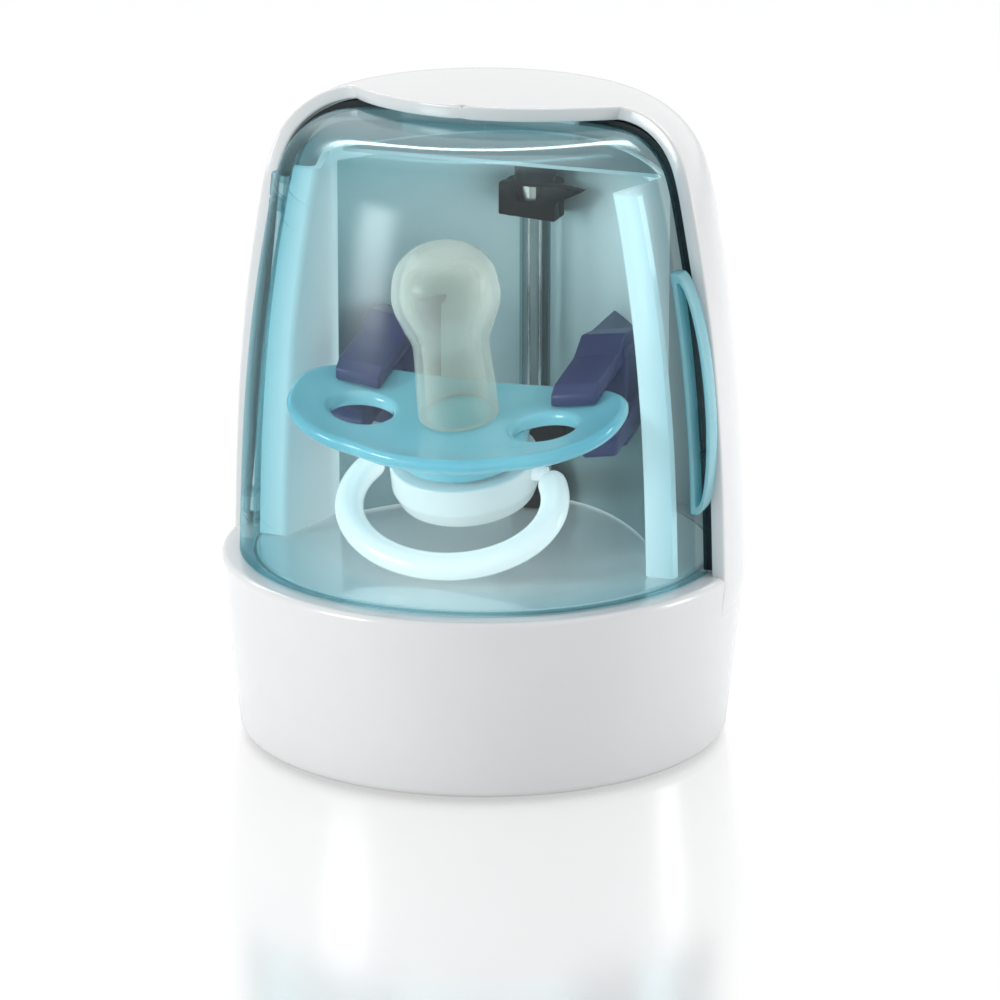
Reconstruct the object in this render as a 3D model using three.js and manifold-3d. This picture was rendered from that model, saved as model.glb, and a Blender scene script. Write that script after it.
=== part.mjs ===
// Pacifier sterilizer case: a battery UV steriliser with a clear side-hinged door.
// One pacifier stands in its clips.
// Millimetres, +Z up, front face towards -Y, origin on the table at the middle of the foot.
import * as THREE from 'three';
import { mergeVertices, toCreasedNormals } from 'three/addons/utils/BufferGeometryUtils.js';
import Module from 'manifold-3d';

const wasm = await Module();
wasm.setup();

// Driving dimensions of the case
const caseHeight = 86.3;
const rimRadius = 35;
const footTaper = 2.4;
const footRadius = rimRadius - footTaper;
const rimHeight = 24.9;
const rimRound = 0.9;
const groundGap = 0.5;
const footRound = 1.2;
const housingWall = 1.8;
const roundSegments = 44;
const smallSegments = 16;

// Clearances
const seatGap = 0.3;
const slideGap = 0.4;
const cutOverrun = 1;

// Door
const doorInset = 2.5;
const doorWall = 1.8;
const doorTuck = 1;
const doorFootGap = 0.35;
const frontEdgeY = -3;
const frontEdgeBendDrop = 18.3;
const frontEdgeBend = caseHeight - frontEdgeBendDrop;
const frontEdgeSetback = 4.5;
const hingeEdgeY = -4;

// Hinge
const hingeY = -5;
const hingeAboveRim = 6.1;
const hingeBelowTop = 15.3;
const hingeLowHeight = rimHeight + hingeAboveRim;
const hingeHighHeight = caseHeight - hingeBelowTop;
const hingeLugLength = 3.2;
const lugArmFrontY = -4.3;
const lugNotchDepth = 2.6;
const knuckleRadius = 1.7;
const pinRadius = 0.7;
const pinPlay = 0.08;

// Finger pull on the door
const pullAboveRim = 9.3;
const pullBelowTop = 20.3;
const pullLowHeight = rimHeight + pullAboveRim;
const pullHighHeight = caseHeight - pullBelowTop;
const pullReach = 2.4;
const pullThickness = 3.2;
const pullEdgeY = -3.6;
const pullRim = 0.8;
const pullRecess = 1.2;

// Top cap lip
const lipSetback = 7.4;
const lipRadius = rimRadius - lipSetback;
const lipFrontY = -6.3;
const lipShoulder = 16.5;
const lipHalfWidth = rimRadius - lipShoulder;

// Outer profile of the dome: radius as a share of the rim radius, height as a share of the case height
const domeShares = [
  [0.999, 0.285],
  [0.99, 0.4],
  [0.974, 0.52],
  [0.943, 0.65],
  [0.897, 0.775],
  [0.84, 0.886],
  [0.765, 0.945],
  [0.64, 0.982],
  [0.48, 0.995],
  [0.22, 0.999],
  [0, 1],
];
const domeSteps = 15;

// Colours and finishes
function clear(color, roughness, opacity) {
  return new THREE.MeshStandardMaterial({ color, roughness, transparent: true, opacity });
}
function plastic(color, roughness = 0.35) {
  return new THREE.MeshStandardMaterial({ color, roughness, metalness: 0 });
}
function metal(color, roughness = 0.3) {
  return new THREE.MeshStandardMaterial({ color, roughness, metalness: 1 });
}
const white = plastic(0xf1f0f0, 0.3);
const paleLiner = plastic(0xd5eaec, 0.4);
const tint = clear(0x8fcdd8, 0.08, 0.45);
const black = plastic(0x15171b, 0.6);
const navy = plastic(0x2e2f6b, 0.4);
const steel = metal(0xc3c6c8, 0.25);
const mirror = metal(0xe6ecef, 0.08);
const green = plastic(0x1d6b45, 0.5);
const grey = plastic(0x6e7276, 0.5);
const rubber = plastic(0xc9cbcd, 0.85);
const glass = clear(0xe8f2f4, 0.05, 0.5);
const shieldBlue = plastic(0x45b4dd, 0.3);
const buttonWhite = plastic(0xe6f6fa, 0.35);
const silicone = clear(0xd9d8cc, 0.3, 0.7);
const cellWrap = plastic(0x3d6ea8, 0.4);

// Geometry helpers
const caseGroup = new THREE.Group();

function bare(geometry) {
  const copy = geometry.clone();
  copy.deleteAttribute('normal');
  copy.deleteAttribute('uv');
  return mergeVertices(copy, 1e-4);
}

function solid(geometry, matrix) {
  const merged = bare(geometry);
  if (matrix) merged.applyMatrix4(matrix);
  const vertProperties = Float32Array.from(merged.attributes.position.array);
  const triVerts = Uint32Array.from(merged.index.array);
  const result = new wasm.Manifold(new wasm.Mesh({ numProp: 3, vertProperties, triVerts }));
  if (result.volume() < 0) throw new Error('a solid has its faces pointing in');
  return result;
}

function place(x, y, z, turnX = 0, turnY = 0, turnZ = 0) {
  const euler = new THREE.Euler(turnX, turnY, turnZ);
  const at = new THREE.Vector3(x, y, z);
  const turn = new THREE.Quaternion().setFromEuler(euler);
  return new THREE.Matrix4().compose(at, turn, new THREE.Vector3(1, 1, 1));
}

function join(first, ...others) {
  return others.reduce((sum, other) => sum.add(other), first);
}

function cut(body, ...tools) {
  return tools.reduce((rest, tool) => rest.subtract(tool), body);
}

function add(name, shape, material, parent = caseGroup) {
  let geometry = shape;
  if (!shape.isBufferGeometry) {
    const mesh = shape.getMesh();
    geometry = new THREE.BufferGeometry();
    geometry.setAttribute('position', new THREE.BufferAttribute(Float32Array.from(mesh.vertProperties), 3));
    geometry.setIndex(Array.from(mesh.triVerts));
  }
  const mesh = new THREE.Mesh(toCreasedNormals(bare(geometry)), material);
  mesh.name = name;
  parent.add(mesh);
  return mesh;
}

// A revolved solid from [radius, height] pairs that run anticlockwise, from the axis or closed on themselves
function turned(points, segments = roundSegments) {
  const profile = points.map(([radius, height]) => new THREE.Vector2(radius, height));
  const onAxis = points[0][0] === 0 && points[points.length - 1][0] === 0;
  if (!onAxis) profile.push(profile[0].clone());
  return new THREE.LatheGeometry(profile, segments).rotateX(Math.PI / 2);
}

function disc(radius, low, high, segments = roundSegments) {
  return turned([[0, low], [radius, low], [radius, high], [0, high]], segments);
}

// A flat outline of [x, y] pairs, pulled up from one height to another
function upright(outline, low, high, holes = []) {
  const shape = new THREE.Shape(outline.map(([x, y]) => new THREE.Vector2(x, y)));
  shape.holes = holes.map((hole) => new THREE.Path(hole.map(([x, y]) => new THREE.Vector2(x, y))));
  return new THREE.ExtrudeGeometry(shape, { depth: high - low, bevelEnabled: false }).translate(0, 0, low);
}

// A side outline of [y, z] pairs, pulled across from one x to another
function across(outline, left, right) {
  const shape = new THREE.Shape(outline.map(([y, z]) => new THREE.Vector2(y, z)));
  const pulled = new THREE.ExtrudeGeometry(shape, { depth: right - left, bevelEnabled: false });
  return pulled.rotateX(Math.PI / 2).rotateZ(Math.PI / 2).translate(left, 0, 0);
}

// A front outline of [x, z] pairs, pulled back from one y to another
function depthwise(outline, front, back) {
  const shape = new THREE.Shape(outline.map(([x, z]) => new THREE.Vector2(x, z)));
  const pulled = new THREE.ExtrudeGeometry(shape, { depth: back - front, bevelEnabled: false });
  return pulled.rotateX(Math.PI / 2).translate(0, back, 0);
}

function block(left, right, front, back, low, high) {
  return upright([[left, front], [right, front], [right, back], [left, back]], low, high);
}

// The dome's outline, moved inwards by an offset along its normal, from a starting height up to the axis
const domeCurve = new THREE.SplineCurve(
  domeShares.map(([radius, height]) => new THREE.Vector2(radius * rimRadius, height * caseHeight)),
);
function domeOutline(offset, fromHeight) {
  const outline = [];
  for (let step = 0; step <= domeSteps; step += 1) {
    const share = step / domeSteps;
    const point = domeCurve.getPoint(share);
    const along = domeCurve.getTangent(share);
    const radius = point.x - offset * along.y;
    const height = point.y + offset * along.x;
    if (radius > 0 && height > fromHeight) outline.push([radius, height]);
  }
  const first = outline[0];
  outline.unshift([first[0], fromHeight]);
  outline.push([0, caseHeight - offset]);
  return outline;
}
function domeRadius(offset, height) {
  const outline = domeOutline(offset, rimHeight);
  const next = outline.findIndex(([, level]) => level > height);
  if (next < 1) return outline[0][0];
  const [lowRadius, lowHeight] = outline[next - 1];
  const [highRadius, highHeight] = outline[next];
  return lowRadius + ((highRadius - lowRadius) * (height - lowHeight)) / (highHeight - lowHeight);
}

// The line in side view where the hood ends and the door begins, moved back by a setback
const farOut = 2 * rimRadius;
const edgeSteps = 10;
function frontEdge(setback, lowest = rimHeight, straightY = frontEdgeY) {
  const rise = caseHeight - frontEdgeBend;
  const edge = [[straightY + setback, lowest]];
  for (let step = 0; step <= edgeSteps; step += 1) {
    const share = step / edgeSteps;
    const bend = (frontEdgeY + frontEdgeSetback - straightY) * share ** 3;
    edge.push([straightY + bend + setback, frontEdgeBend + rise * share]);
  }
  return edge;
}
function inFrontOf(edge, lowest, left = -farOut, right = farOut) {
  const top = caseHeight + cutOverrun;
  const last = edge[edge.length - 1];
  const outline = [[-farOut, lowest], [edge[0][0], lowest], ...edge.slice(1), [last[0], top], [-farOut, top]];
  return solid(across(outline, left, right));
}

// Housing: base ring and hood in one white moulding, with the cap's lip over the door
function hingeAxis() {
  const at = (height) => -(domeRadius(doorInset, height) - knuckleRadius);
  const low = new THREE.Vector3(at(hingeLowHeight), hingeY, hingeLowHeight);
  const high = new THREE.Vector3(at(hingeHighHeight), hingeY, hingeHighHeight);
  return { low, high, along: high.clone().sub(low).normalize() };
}
const hinge = hingeAxis();

function onHinge(height) {
  return hinge.low.clone().addScaledVector(hinge.along, (height - hingeLowHeight) / hinge.along.z);
}

function hingeRod(radius, lowHeight, highHeight) {
  const low = onHinge(lowHeight);
  const high = onHinge(highHeight);
  const length = low.distanceTo(high);
  const rod = new THREE.CylinderGeometry(radius, radius, length, smallSegments);
  const turn = new THREE.Quaternion().setFromUnitVectors(new THREE.Vector3(0, 1, 0), hinge.along);
  const middle = low.clone().add(high).divideScalar(2);
  return solid(rod, new THREE.Matrix4().compose(middle, turn, new THREE.Vector3(1, 1, 1)));
}

const shelfWidth = 4.4;
const shelfRadius = rimRadius - shelfWidth;
const shelfThickness = 1.5;

function lipArc(radius, frontY, halfWidth, backY) {
  const centreY = frontY + radius;
  const reach = Math.asin(halfWidth / radius);
  const outline = [];
  for (let step = 0; step <= edgeSteps; step += 1) {
    const angle = -reach + (2 * reach * step) / edgeSteps;
    outline.push([radius * Math.sin(angle), centreY - radius * Math.cos(angle)]);
  }
  outline.push([halfWidth, backY], [-halfWidth, backY]);
  return outline;
}

function makeHousing() {
  const foot = groundGap;
  const wallFoot = footRadius - housingWall;
  const outside = [[0, foot], [footRadius - footRound, foot]];
  outside.push([footRadius - footRound / 4, foot + footRound / 4]);
  outside.push([footRadius, foot + footRound], [rimRadius, rimHeight - footRound]);
  outside.push(...domeOutline(0, rimHeight + footRound));
  const shelfLow = rimHeight - shelfThickness;
  const inside = [[0, foot - cutOverrun], [wallFoot, foot - cutOverrun], [wallFoot, foot + footRound]];
  inside.push([rimRadius - housingWall, shelfLow - footRound], [rimRadius - housingWall, shelfLow]);
  inside.push([shelfRadius, shelfLow], [shelfRadius, rimHeight], [rimRadius - housingWall, rimHeight]);
  inside.push(...domeOutline(housingWall, rimHeight + footRound));
  const shell = solid(turned(outside)).subtract(solid(turned(inside)));

  const opening = inFrontOf(frontEdge(0), rimHeight - 2 * rimRound);
  const aboveRim = solid(turned([
    [0, rimHeight], [rimRadius - rimRound, rimHeight], [rimRadius - rimRound / 4, rimHeight - rimRound / 4],
    [rimRadius, rimHeight - rimRound], [farOut, rimHeight - rimRound],
    [farOut, caseHeight + cutOverrun], [0, caseHeight + cutOverrun],
  ]));
  const lipBack = lipFrontY + lipRadius;
  const lipPlan = lipArc(lipRadius, lipFrontY, lipHalfWidth, lipBack);
  const lip = solid(upright(lipPlan, rimHeight + farOut / 2, caseHeight + 2 * cutOverrun));
  const cleared = opening.intersect(aboveRim).subtract(lip);

  const lugRadius = knuckleRadius;
  const lugLow = hingeRod(lugRadius, hingeLowHeight - seatGap - hingeLugLength, hingeLowHeight - seatGap);
  const lugHigh = hingeRod(lugRadius, hingeHighHeight + seatGap, hingeHighHeight + seatGap + hingeLugLength);
  const toWeb = seatGap + hingeLugLength / 2;
  const webs = [hingeLowHeight - toWeb, hingeHighHeight + toWeb];
  const arms = webs.map((height) => {
    const at = onHinge(height);
    const outer = -domeRadius(housingWall / 2, height);
    const halfLug = hingeLugLength / 2 - seatGap / 2;
    const inner = at.x + lugRadius / 2;
    const armBack = frontEdgeY + doorTuck;
    return solid(block(outer, inner, lugArmFrontY, armBack, height - halfLug, height + halfLug));
  });
  const envelope = solid(turned([[0, 0], ...domeOutline(housingWall / 2, rimHeight)]));
  const boreHigh = hingeHighHeight + 2 * hingeLugLength;
  const pinBore = hingeRod(pinRadius + pinPlay, hingeLowHeight - hingeLugLength, boreHigh);
  const lugs = join(lugLow, lugHigh, ...arms).intersect(envelope);
  return cut(join(cut(shell, cleared), lugs), pinBore);
}

// Door: a clear shell of revolution with a knuckle along its left edge and a crescent pull on its right edge
function makeDoor() {
  const foot = rimHeight + doorFootGap;
  const outline = domeOutline(doorInset, foot);
  const inner = domeOutline(doorInset + doorWall, foot - cutOverrun);
  const hollow = solid(turned([[0, foot - cutOverrun], ...inner]));
  const shell = solid(turned([[0, foot], ...outline])).subtract(hollow);
  const right = inFrontOf(frontEdge(doorTuck), foot - cutOverrun, 0, farOut);
  const left = inFrontOf(frontEdge(0, rimHeight, hingeEdgeY), foot - cutOverrun, -farOut, cutOverrun / 10);
  const skin = shell.intersect(right.add(left));

  const knuckle = hingeRod(knuckleRadius, hingeLowHeight, hingeHighHeight);
  const webOutline = [hingeLowHeight, hingeHighHeight].map((height) => onHinge(height));
  const web = solid(block(webOutline[0].x - knuckleRadius, webOutline[1].x, hingeY - knuckleRadius,
    hingeY - knuckleRadius / 4, hingeLowHeight, hingeHighHeight));
  const within = solid(turned([[0, foot], ...domeOutline(doorInset + doorWall / 2, foot)]));
  const behindAxis = solid(across([
    [hingeY - knuckleRadius, hingeLowHeight], [hingeY, hingeLowHeight],
    [hingeY, hingeHighHeight], [hingeY - knuckleRadius, hingeHighHeight],
  ], -farOut, 0));
  const webKept = web.intersect(within).intersect(behindAxis);
  const notchLow = hingeRod(knuckleRadius + slideGap, foot - cutOverrun, hingeLowHeight - cutOverrun / 10);
  const notchTop = hingeHighHeight + hingeLugLength + 3 * seatGap;
  const notchHigh = hingeRod(knuckleRadius + slideGap, hingeHighHeight + cutOverrun / 10, notchTop);
  const notchFront = hingeY - knuckleRadius - lugNotchDepth;
  const lugRoom = [[foot - cutOverrun, hingeLowHeight], [hingeHighHeight, notchTop]].map(
    ([low, high]) => solid(block(-farOut, 0, notchFront, 0, low, high)));
  const trimmed = cut(skin, notchLow, notchHigh, ...lugRoom);
  const pinBore = hingeRod(pinRadius + pinPlay, hingeLowHeight - cutOverrun, hingeHighHeight + cutOverrun);
  return cut(join(trimmed, knuckle, webKept.subtract(hingeWebLimit()), makePull()), pinBore);
}

// The web stays on the outer side of the hinge axis, so that it clears the chamber
function hingeWebLimit() {
  const low = onHinge(hingeLowHeight - cutOverrun);
  const high = onHinge(hingeHighHeight + cutOverrun);
  const reach = rimRadius;
  return solid(depthwise([[low.x, low.z], [low.x + reach, low.z], [high.x + reach, high.z], [high.x, high.z]],
    hingeY - rimRadius, hingeY + rimRadius));
}

function crescent(half, reach, base, flat) {
  const middle = (pullLowHeight + pullHighHeight) / 2;
  const outer = [];
  const inner = [];
  for (let step = 0; step <= edgeSteps * 2; step += 1) {
    const share = -1 + step / edgeSteps;
    const height = middle + half * share;
    const skinRadius = domeRadius(doorInset, height);
    outer.push([skinRadius + base + reach * Math.sqrt(1 - share * share), height]);
    if (flat > 0 || Math.abs(share) < 1) inner.unshift([skinRadius + base - flat, height]);
  }
  return [...outer, ...inner];
}

function makePull() {
  const half = (pullHighHeight - pullLowHeight) / 2;
  const front = pullEdgeY - pullThickness;
  const plate = solid(depthwise(crescent(half, pullReach, 0, doorWall / 2), front, pullEdgeY));
  const hollow = crescent(half - 2 * pullRim, pullReach - 2 * pullRim, pullRim, 0);
  return plate.subtract(solid(depthwise(hollow, front - cutOverrun, front + pullRecess)));
}

// Light seal: a black strip behind the door's rear edge, so that no ultraviolet light leaks out of the joint
const sealDepth = 2;
const sealWidth = 2.6;
const floorTop = 25.1;

function makeLightSeal() {
  const inner = domeOutline(doorInset + sealWidth, rimHeight);
  const outer = domeOutline(housingWall + seatGap, rimHeight);
  const shell = solid(turned([[0, rimHeight], ...outer])).subtract(
    solid(turned([[0, rimHeight - cutOverrun], ...inner])));
  const back = inFrontOf(frontEdge(doorTuck + seatGap + sealDepth), floorTop);
  const front = inFrontOf(frontEdge(doorTuck + seatGap), floorTop - cutOverrun);
  const lugRoom = hingeRod(knuckleRadius + slideGap, hingeLowHeight - 2 * hingeLugLength,
    hingeHighHeight + 2 * hingeLugLength);
  const aboveFloor = solid(disc(rimRadius, floorTop + seatGap, caseHeight));
  const plungerHole = alongDepth(plungerRadius + seatGap, plungerFrontY - farOut / 2, switchFrontY);
  return cut(shell.intersect(back).subtract(front).intersect(aboveFloor), lugRoom, plungerHole);
}

// Chamber: a floor disc let in from below, and a white surround with open front and tapering side walls
const floorThickness = 1.6;
const plugTaper = 0.35;
const floorPlugRadius = shelfRadius - 2 * plugTaper;
const linerWall = 1.2;
const linerFrontY = -7.5;
const linerInset = 9.5;
const linerRidgeDrop = 10.3;
const linerRidge = caseHeight - linerRidgeDrop;
const flangeInset = 5.6;
const linerSteps = 6;
const troughSideRoom = 12.6;
const troughBackRoom = 12.4;
const troughHalfWidth = rimRadius - troughSideRoom;
const troughFrontY = 4.1;
const troughBackY = rimRadius - troughBackRoom;
const reflectorSheet = 0.5;

function makeFloor() {
  const shelfLow = rimHeight - shelfThickness;
  const under = shelfLow - seatGap;
  const flat = rimRadius - housingWall - footRound - seatGap;
  const plate = solid(turned([
    [0, under - floorThickness], [flat, under - floorThickness], [flat, under],
    [shelfRadius - slideGap, under], [shelfRadius - slideGap, rimHeight],
    [floorPlugRadius, floorTop], [0, floorTop],
  ]));
  const below = under - floorThickness - 2 * cutOverrun;
  const hingeRoom = hingeRod(knuckleRadius + 2 * slideGap, below, hingeLowHeight);
  return plate.subtract(hingeRoom);
}

// The surround's line in plan, moved outwards by a thickness: a C, open to the front, with side flanges
function linerLine(height, out) {
  const front = domeRadius(0, height) - linerInset;
  const flange = domeRadius(0, height) - flangeInset;
  const backWall = troughBackY + reflectorSheet + seatGap;
  const aroundTrough = troughHalfWidth + reflectorSheet + seatGap;
  const narrow = Math.min(aroundTrough, domeRadius(housingWall, height) - 2 * linerWall);
  const side = [[flange, linerFrontY + out], [front + out, linerFrontY + out], [narrow + out, troughFrontY]];
  for (let step = 1; step <= edgeSteps; step += 1) {
    const share = 1 - step / edgeSteps;
    side.push([(narrow + out) * share, backWall + out - (backWall - troughFrontY) * share ** 2]);
  }
  return [...side, ...side.slice(0, -1).reverse().map(([x, y]) => [-x, y])];
}

// One level of the surround, from its inner line to its outer line
function linerLevel(height) {
  return [...linerLine(height, 0), ...linerLine(height, linerWall).reverse()];
}

// Joins flat outlines of equal point counts at rising heights into one closed solid
function lofted(levels) {
  const count = levels[0].outline.length;
  const positions = levels.flatMap(({ outline, height }) => outline.flatMap(([x, y]) => [x, y, height]));
  const faces = [];
  for (let level = 0; level < levels.length - 1; level += 1) {
    for (let index = 0; index < count; index += 1) {
      const next = (index + 1) % count;
      const [a, b] = [level * count + index, level * count + next];
      faces.push(a, b, b + count, a, b + count, a + count);
    }
  }
  const flat = levels[0].outline.map(([x, y]) => new THREE.Vector2(x, y));
  const caps = THREE.ShapeUtils.triangulateShape(flat, []);
  const top = (levels.length - 1) * count;
  caps.forEach(([a, b, c]) => faces.push(c, b, a, top + a, top + b, top + c));
  const geometry = new THREE.BufferGeometry();
  geometry.setAttribute('position', new THREE.BufferAttribute(Float32Array.from(positions), 3));
  geometry.setIndex(faces);
  return geometry;
}

function anticlockwise(outline) {
  const area = THREE.ShapeUtils.area(outline.map(([x, y]) => new THREE.Vector2(x, y)));
  return area < 0 ? outline.slice().reverse() : outline;
}

function makeLiner() {
  const levels = [];
  const low = floorTop + seatGap;
  for (let step = 0; step <= linerSteps; step += 1) {
    const height = low + ((linerRidge - low) * step) / linerSteps;
    levels.push({ height, outline: anticlockwise(linerLevel(height)) });
  }
  const walls = solid(lofted(levels));
  const ceilingLow = linerRidge - linerWall;
  const roofEdge = linerLine(linerRidge, linerWall / 2).slice(2, -2);
  const ceiling = solid(upright(roofEdge, ceilingLow, linerRidge));
  const lampRoom = solid(disc(lampHolderRadius, ceilingLow - cutOverrun, linerRidge + cutOverrun,
    smallSegments), place(0, lampY, 0));
  const within = solid(turned([[0, rimHeight], ...domeOutline(housingWall + seatGap, rimHeight)]));
  const sealInside = doorInset + sealWidth + seatGap;
  const sealRoom = solid(turned([[0, rimHeight], ...domeOutline(sealInside, rimHeight)]));
  const behindSeal = solid(block(-farOut, farOut, frontEdgeY + doorTuck + seatGap + sealDepth + seatGap
    + frontEdgeSetback, farOut, rimHeight, caseHeight));
  const hingeRoom = hingeRod(knuckleRadius + 2 * slideGap, rimHeight, caseHeight);
  return join(walls, ceiling).subtract(lampRoom).intersect(sealRoom.add(within.intersect(behindSeal)))
    .subtract(hingeRoom);
}

// Reflector: a polished trough bent from thin sheet, behind and beside the lamp
function makeReflector() {
  const front = [];
  const back = [];
  for (let step = 0; step <= 2 * edgeSteps; step += 1) {
    const share = -1 + step / edgeSteps;
    const depth = troughBackY - (troughBackY - troughFrontY) * share * share;
    front.push([troughHalfWidth * share, depth]);
    back.unshift([troughHalfWidth * share, depth + reflectorSheet]);
  }
  const sheet = solid(upright([...front, ...back], floorTop + seatGap, linerRidge - linerWall - seatGap));
  const within = housingWall + linerWall + 2 * seatGap;
  const limit = solid(turned([[0, rimHeight], ...domeOutline(within, rimHeight)]));
  return sheet.intersect(limit);
}

// Lamp: a small ultraviolet tube with metal end caps, in a black holder above and a socket in the floor
const lampFromVertex = 3.2;
const lampY = troughBackY - lampFromVertex;
const lampRadius = 2.1;
const lampCapRadius = 2.4;
const lampCapLength = 4;
const lampAboveFloor = 2.4;
const lampLow = floorTop + lampAboveFloor;
const lampHolderRadius = 3.1;
const lampHolderDrop = 5.4;
const lampHolderHeight = 4.9;
const lampHolderHigh = linerRidge - lampHolderDrop;
const lampHolderLow = lampHolderHigh - lampHolderHeight;
const lampSunk = 0.6;
const lampHigh = lampHolderHigh - lampSunk;
const holderHalfWidth = 4;
const holderBarb = 8;
const holderDepth = 5.4;
const holderCollar = 2.2;
const notchWidth = 2.4;

function makeLampHolderTop() {
  const mouth = lampY - lampCapRadius - holderCollar / 2;
  const back = mouth + holderDepth;
  const body = solid(block(-holderHalfWidth, holderHalfWidth, mouth, back, lampHolderLow, lampHolderHigh));
  const middle = (lampHolderLow + lampHolderHigh) / 2;
  const barb = solid(depthwise([
    [holderHalfWidth - seatGap, middle], [holderBarb, lampHolderHigh - 2 * seatGap],
    [holderHalfWidth + seatGap, lampHolderHigh], [holderHalfWidth - seatGap, lampHolderHigh],
  ], mouth, mouth + holderCollar));
  const notch = solid(depthwise([
    [-notchWidth / 2, middle], [notchWidth / 2, middle],
    [notchWidth, lampHolderHigh + cutOverrun], [-notchWidth, lampHolderHigh + cutOverrun],
  ], mouth - cutOverrun, mouth + holderCollar / 2));
  const stemRadius = lampHolderRadius - seatGap;
  const stem = solid(disc(stemRadius, lampHolderHigh - seatGap, linerRidge - seatGap, smallSegments),
    place(0, lampY, 0));
  const boreRadius = lampCapRadius + seatGap;
  const bore = solid(disc(boreRadius, lampHolderLow - cutOverrun, lampHigh + seatGap, smallSegments),
    place(0, lampY, 0));
  const trim = solid(upright(troughLimit(), lampHolderLow - cutOverrun, caseHeight));
  return cut(join(body, barb).intersect(trim).add(stem), notch, bore);
}

// The room in front of the reflector, in plan
function troughLimit() {
  const edge = [];
  for (let step = 0; step <= 2 * edgeSteps; step += 1) {
    const share = 1 - step / edgeSteps;
    const depth = (troughBackY - troughFrontY) * share * share;
    edge.push([troughHalfWidth * share, troughBackY - seatGap - depth]);
  }
  return [[-troughHalfWidth, -farOut], [troughHalfWidth, -farOut], ...edge];
}

function makeLampHolderBottom() {
  const low = floorTop + seatGap;
  const at = place(0, lampY, 0);
  const socket = solid(disc(lampHolderRadius, low, lampLow + lampCapLength / 2, smallSegments), at);
  const bore = solid(disc(lampCapRadius + seatGap, lampLow - seatGap, lampHigh, smallSegments), at);
  return socket.subtract(bore).intersect(solid(upright(troughLimit(), low - cutOverrun, caseHeight)));
}

function makeLampTube() {
  const low = lampLow + lampCapLength + seatGap;
  const high = lampHigh - lampCapLength - seatGap;
  return disc(lampRadius, low, high, smallSegments).translate(0, lampY, 0);
}

function makeLampCap(low) {
  return disc(lampCapRadius, low, low + lampCapLength, smallSegments).translate(0, lampY, 0);
}

// Pacifier, tipped forwards in its clips
const pacifierY = -8.7;
const pacifierAboveFloor = 19.1;
const pacifierZ = floorTop + pacifierAboveFloor;
const pacifierLean = THREE.MathUtils.degToRad(15);
const shieldSideRoom = 11.9;
const shieldHalfWidth = rimRadius - shieldSideRoom;
const shieldHalfDepth = 11.6;
const shieldWaist = 2.2;
const shieldBluntShare = 0.85;
const shieldRows = 3;
const shieldThickness = 2.2;
const shieldRise = 2.4;
const shieldSteps = 36;
const ventHalfWidth = 4.6;
const ventHalfDepth = 2;
const ventInset = 10.3;
const ventX = shieldHalfWidth - ventInset;
const nippleNeckRadius = 4.9;
const nippleBulbRadius = 7;
const nippleHeadroom = 6.3;
const nippleHeight = linerRidge - pacifierZ - nippleHeadroom;
const nippleWall = 1.1;
const bossRadius = 8.6;
const bossHeight = 3.4;
const buttonRadius = 9.6;
const buttonHeight = 4.6;
const ringHalfWidth = 13.7;
const ringHalfHeight = 10.7;
const ringTube = 1.8;
const ringSteps = 20;
const ringSides = 8;
const ringHang = THREE.MathUtils.degToRad(38);
const ringOpen = THREE.MathUtils.degToRad(32);
const ringPinRadius = 1;
const ringPinLength = 1.6;
const ringPinPlay = 0.3;

const pacifier = new THREE.Group();
pacifier.position.set(0, pacifierY, pacifierZ);
pacifier.rotation.x = pacifierLean;
caseGroup.add(pacifier);

// Saddle height of the shield: the wings rise towards their tips
function saddle(x) {
  return shieldRise * (x / shieldHalfWidth) ** 2;
}

// The shield is a wide oval with blunt wings, drawn in at the back under the nose
function shieldOutline() {
  const outline = [];
  for (let step = 0; step < shieldSteps; step += 1) {
    const angle = (2 * Math.PI * step) / shieldSteps;
    const [wide, deep] = [Math.cos(angle), Math.sin(angle)];
    const x = shieldHalfWidth * Math.sign(wide) * Math.abs(wide) ** shieldBluntShare;
    const waist = deep > 0 ? shieldWaist * (1 - wide * wide) : 0;
    outline.push([x, shieldHalfDepth * Math.sign(deep) * Math.abs(deep) ** shieldBluntShare - waist]);
  }
  return outline;
}

function makeShield() {
  const rings = shieldOutline();
  const edge = (scale, lift) => rings.map(([x, y]) => [x * scale, y * scale, saddle(x * scale) + lift]);
  const half = shieldThickness / 2;
  const flatShare = 1 - half / shieldHalfDepth;
  const layers = [];
  for (let row = 1; row <= shieldRows; row += 1) layers.push(edge((row / shieldRows) * flatShare, -half));
  layers.push(edge(1, 0));
  for (let row = shieldRows; row >= 1; row -= 1) layers.push(edge((row / shieldRows) * flatShare, half));
  const positions = [0, 0, -half, ...layers.flat(2), 0, 0, half];
  const faces = [];
  const at = (layer, index) => 1 + layer * shieldSteps + (index % shieldSteps);
  const last = layers.length - 1;
  for (let index = 0; index < shieldSteps; index += 1) {
    faces.push(0, at(0, index + 1), at(0, index));
    faces.push(at(last, index), at(last, index + 1), 1 + layers.length * shieldSteps);
    for (let layer = 0; layer < last; layer += 1) {
      faces.push(at(layer, index), at(layer, index + 1), at(layer + 1, index + 1));
      faces.push(at(layer, index), at(layer + 1, index + 1), at(layer + 1, index));
    }
  }
  const geometry = new THREE.BufferGeometry();
  geometry.setAttribute('position', new THREE.BufferAttribute(Float32Array.from(positions), 3));
  geometry.setIndex(faces);
  const vents = [-1, 1].map((side) => {
    const hole = new THREE.CylinderGeometry(1, 1, shieldRise * 3 + shieldThickness, smallSegments);
    hole.rotateX(Math.PI / 2).scale(ventHalfWidth, ventHalfDepth, 1).translate(side * ventX, 0, shieldRise);
    return solid(hole);
  });
  const stem = solid(disc(nippleNeckRadius - nippleWall - seatGap, -farOut, farOut, smallSegments));
  return cut(solid(geometry), ...vents, stem);
}

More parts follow.
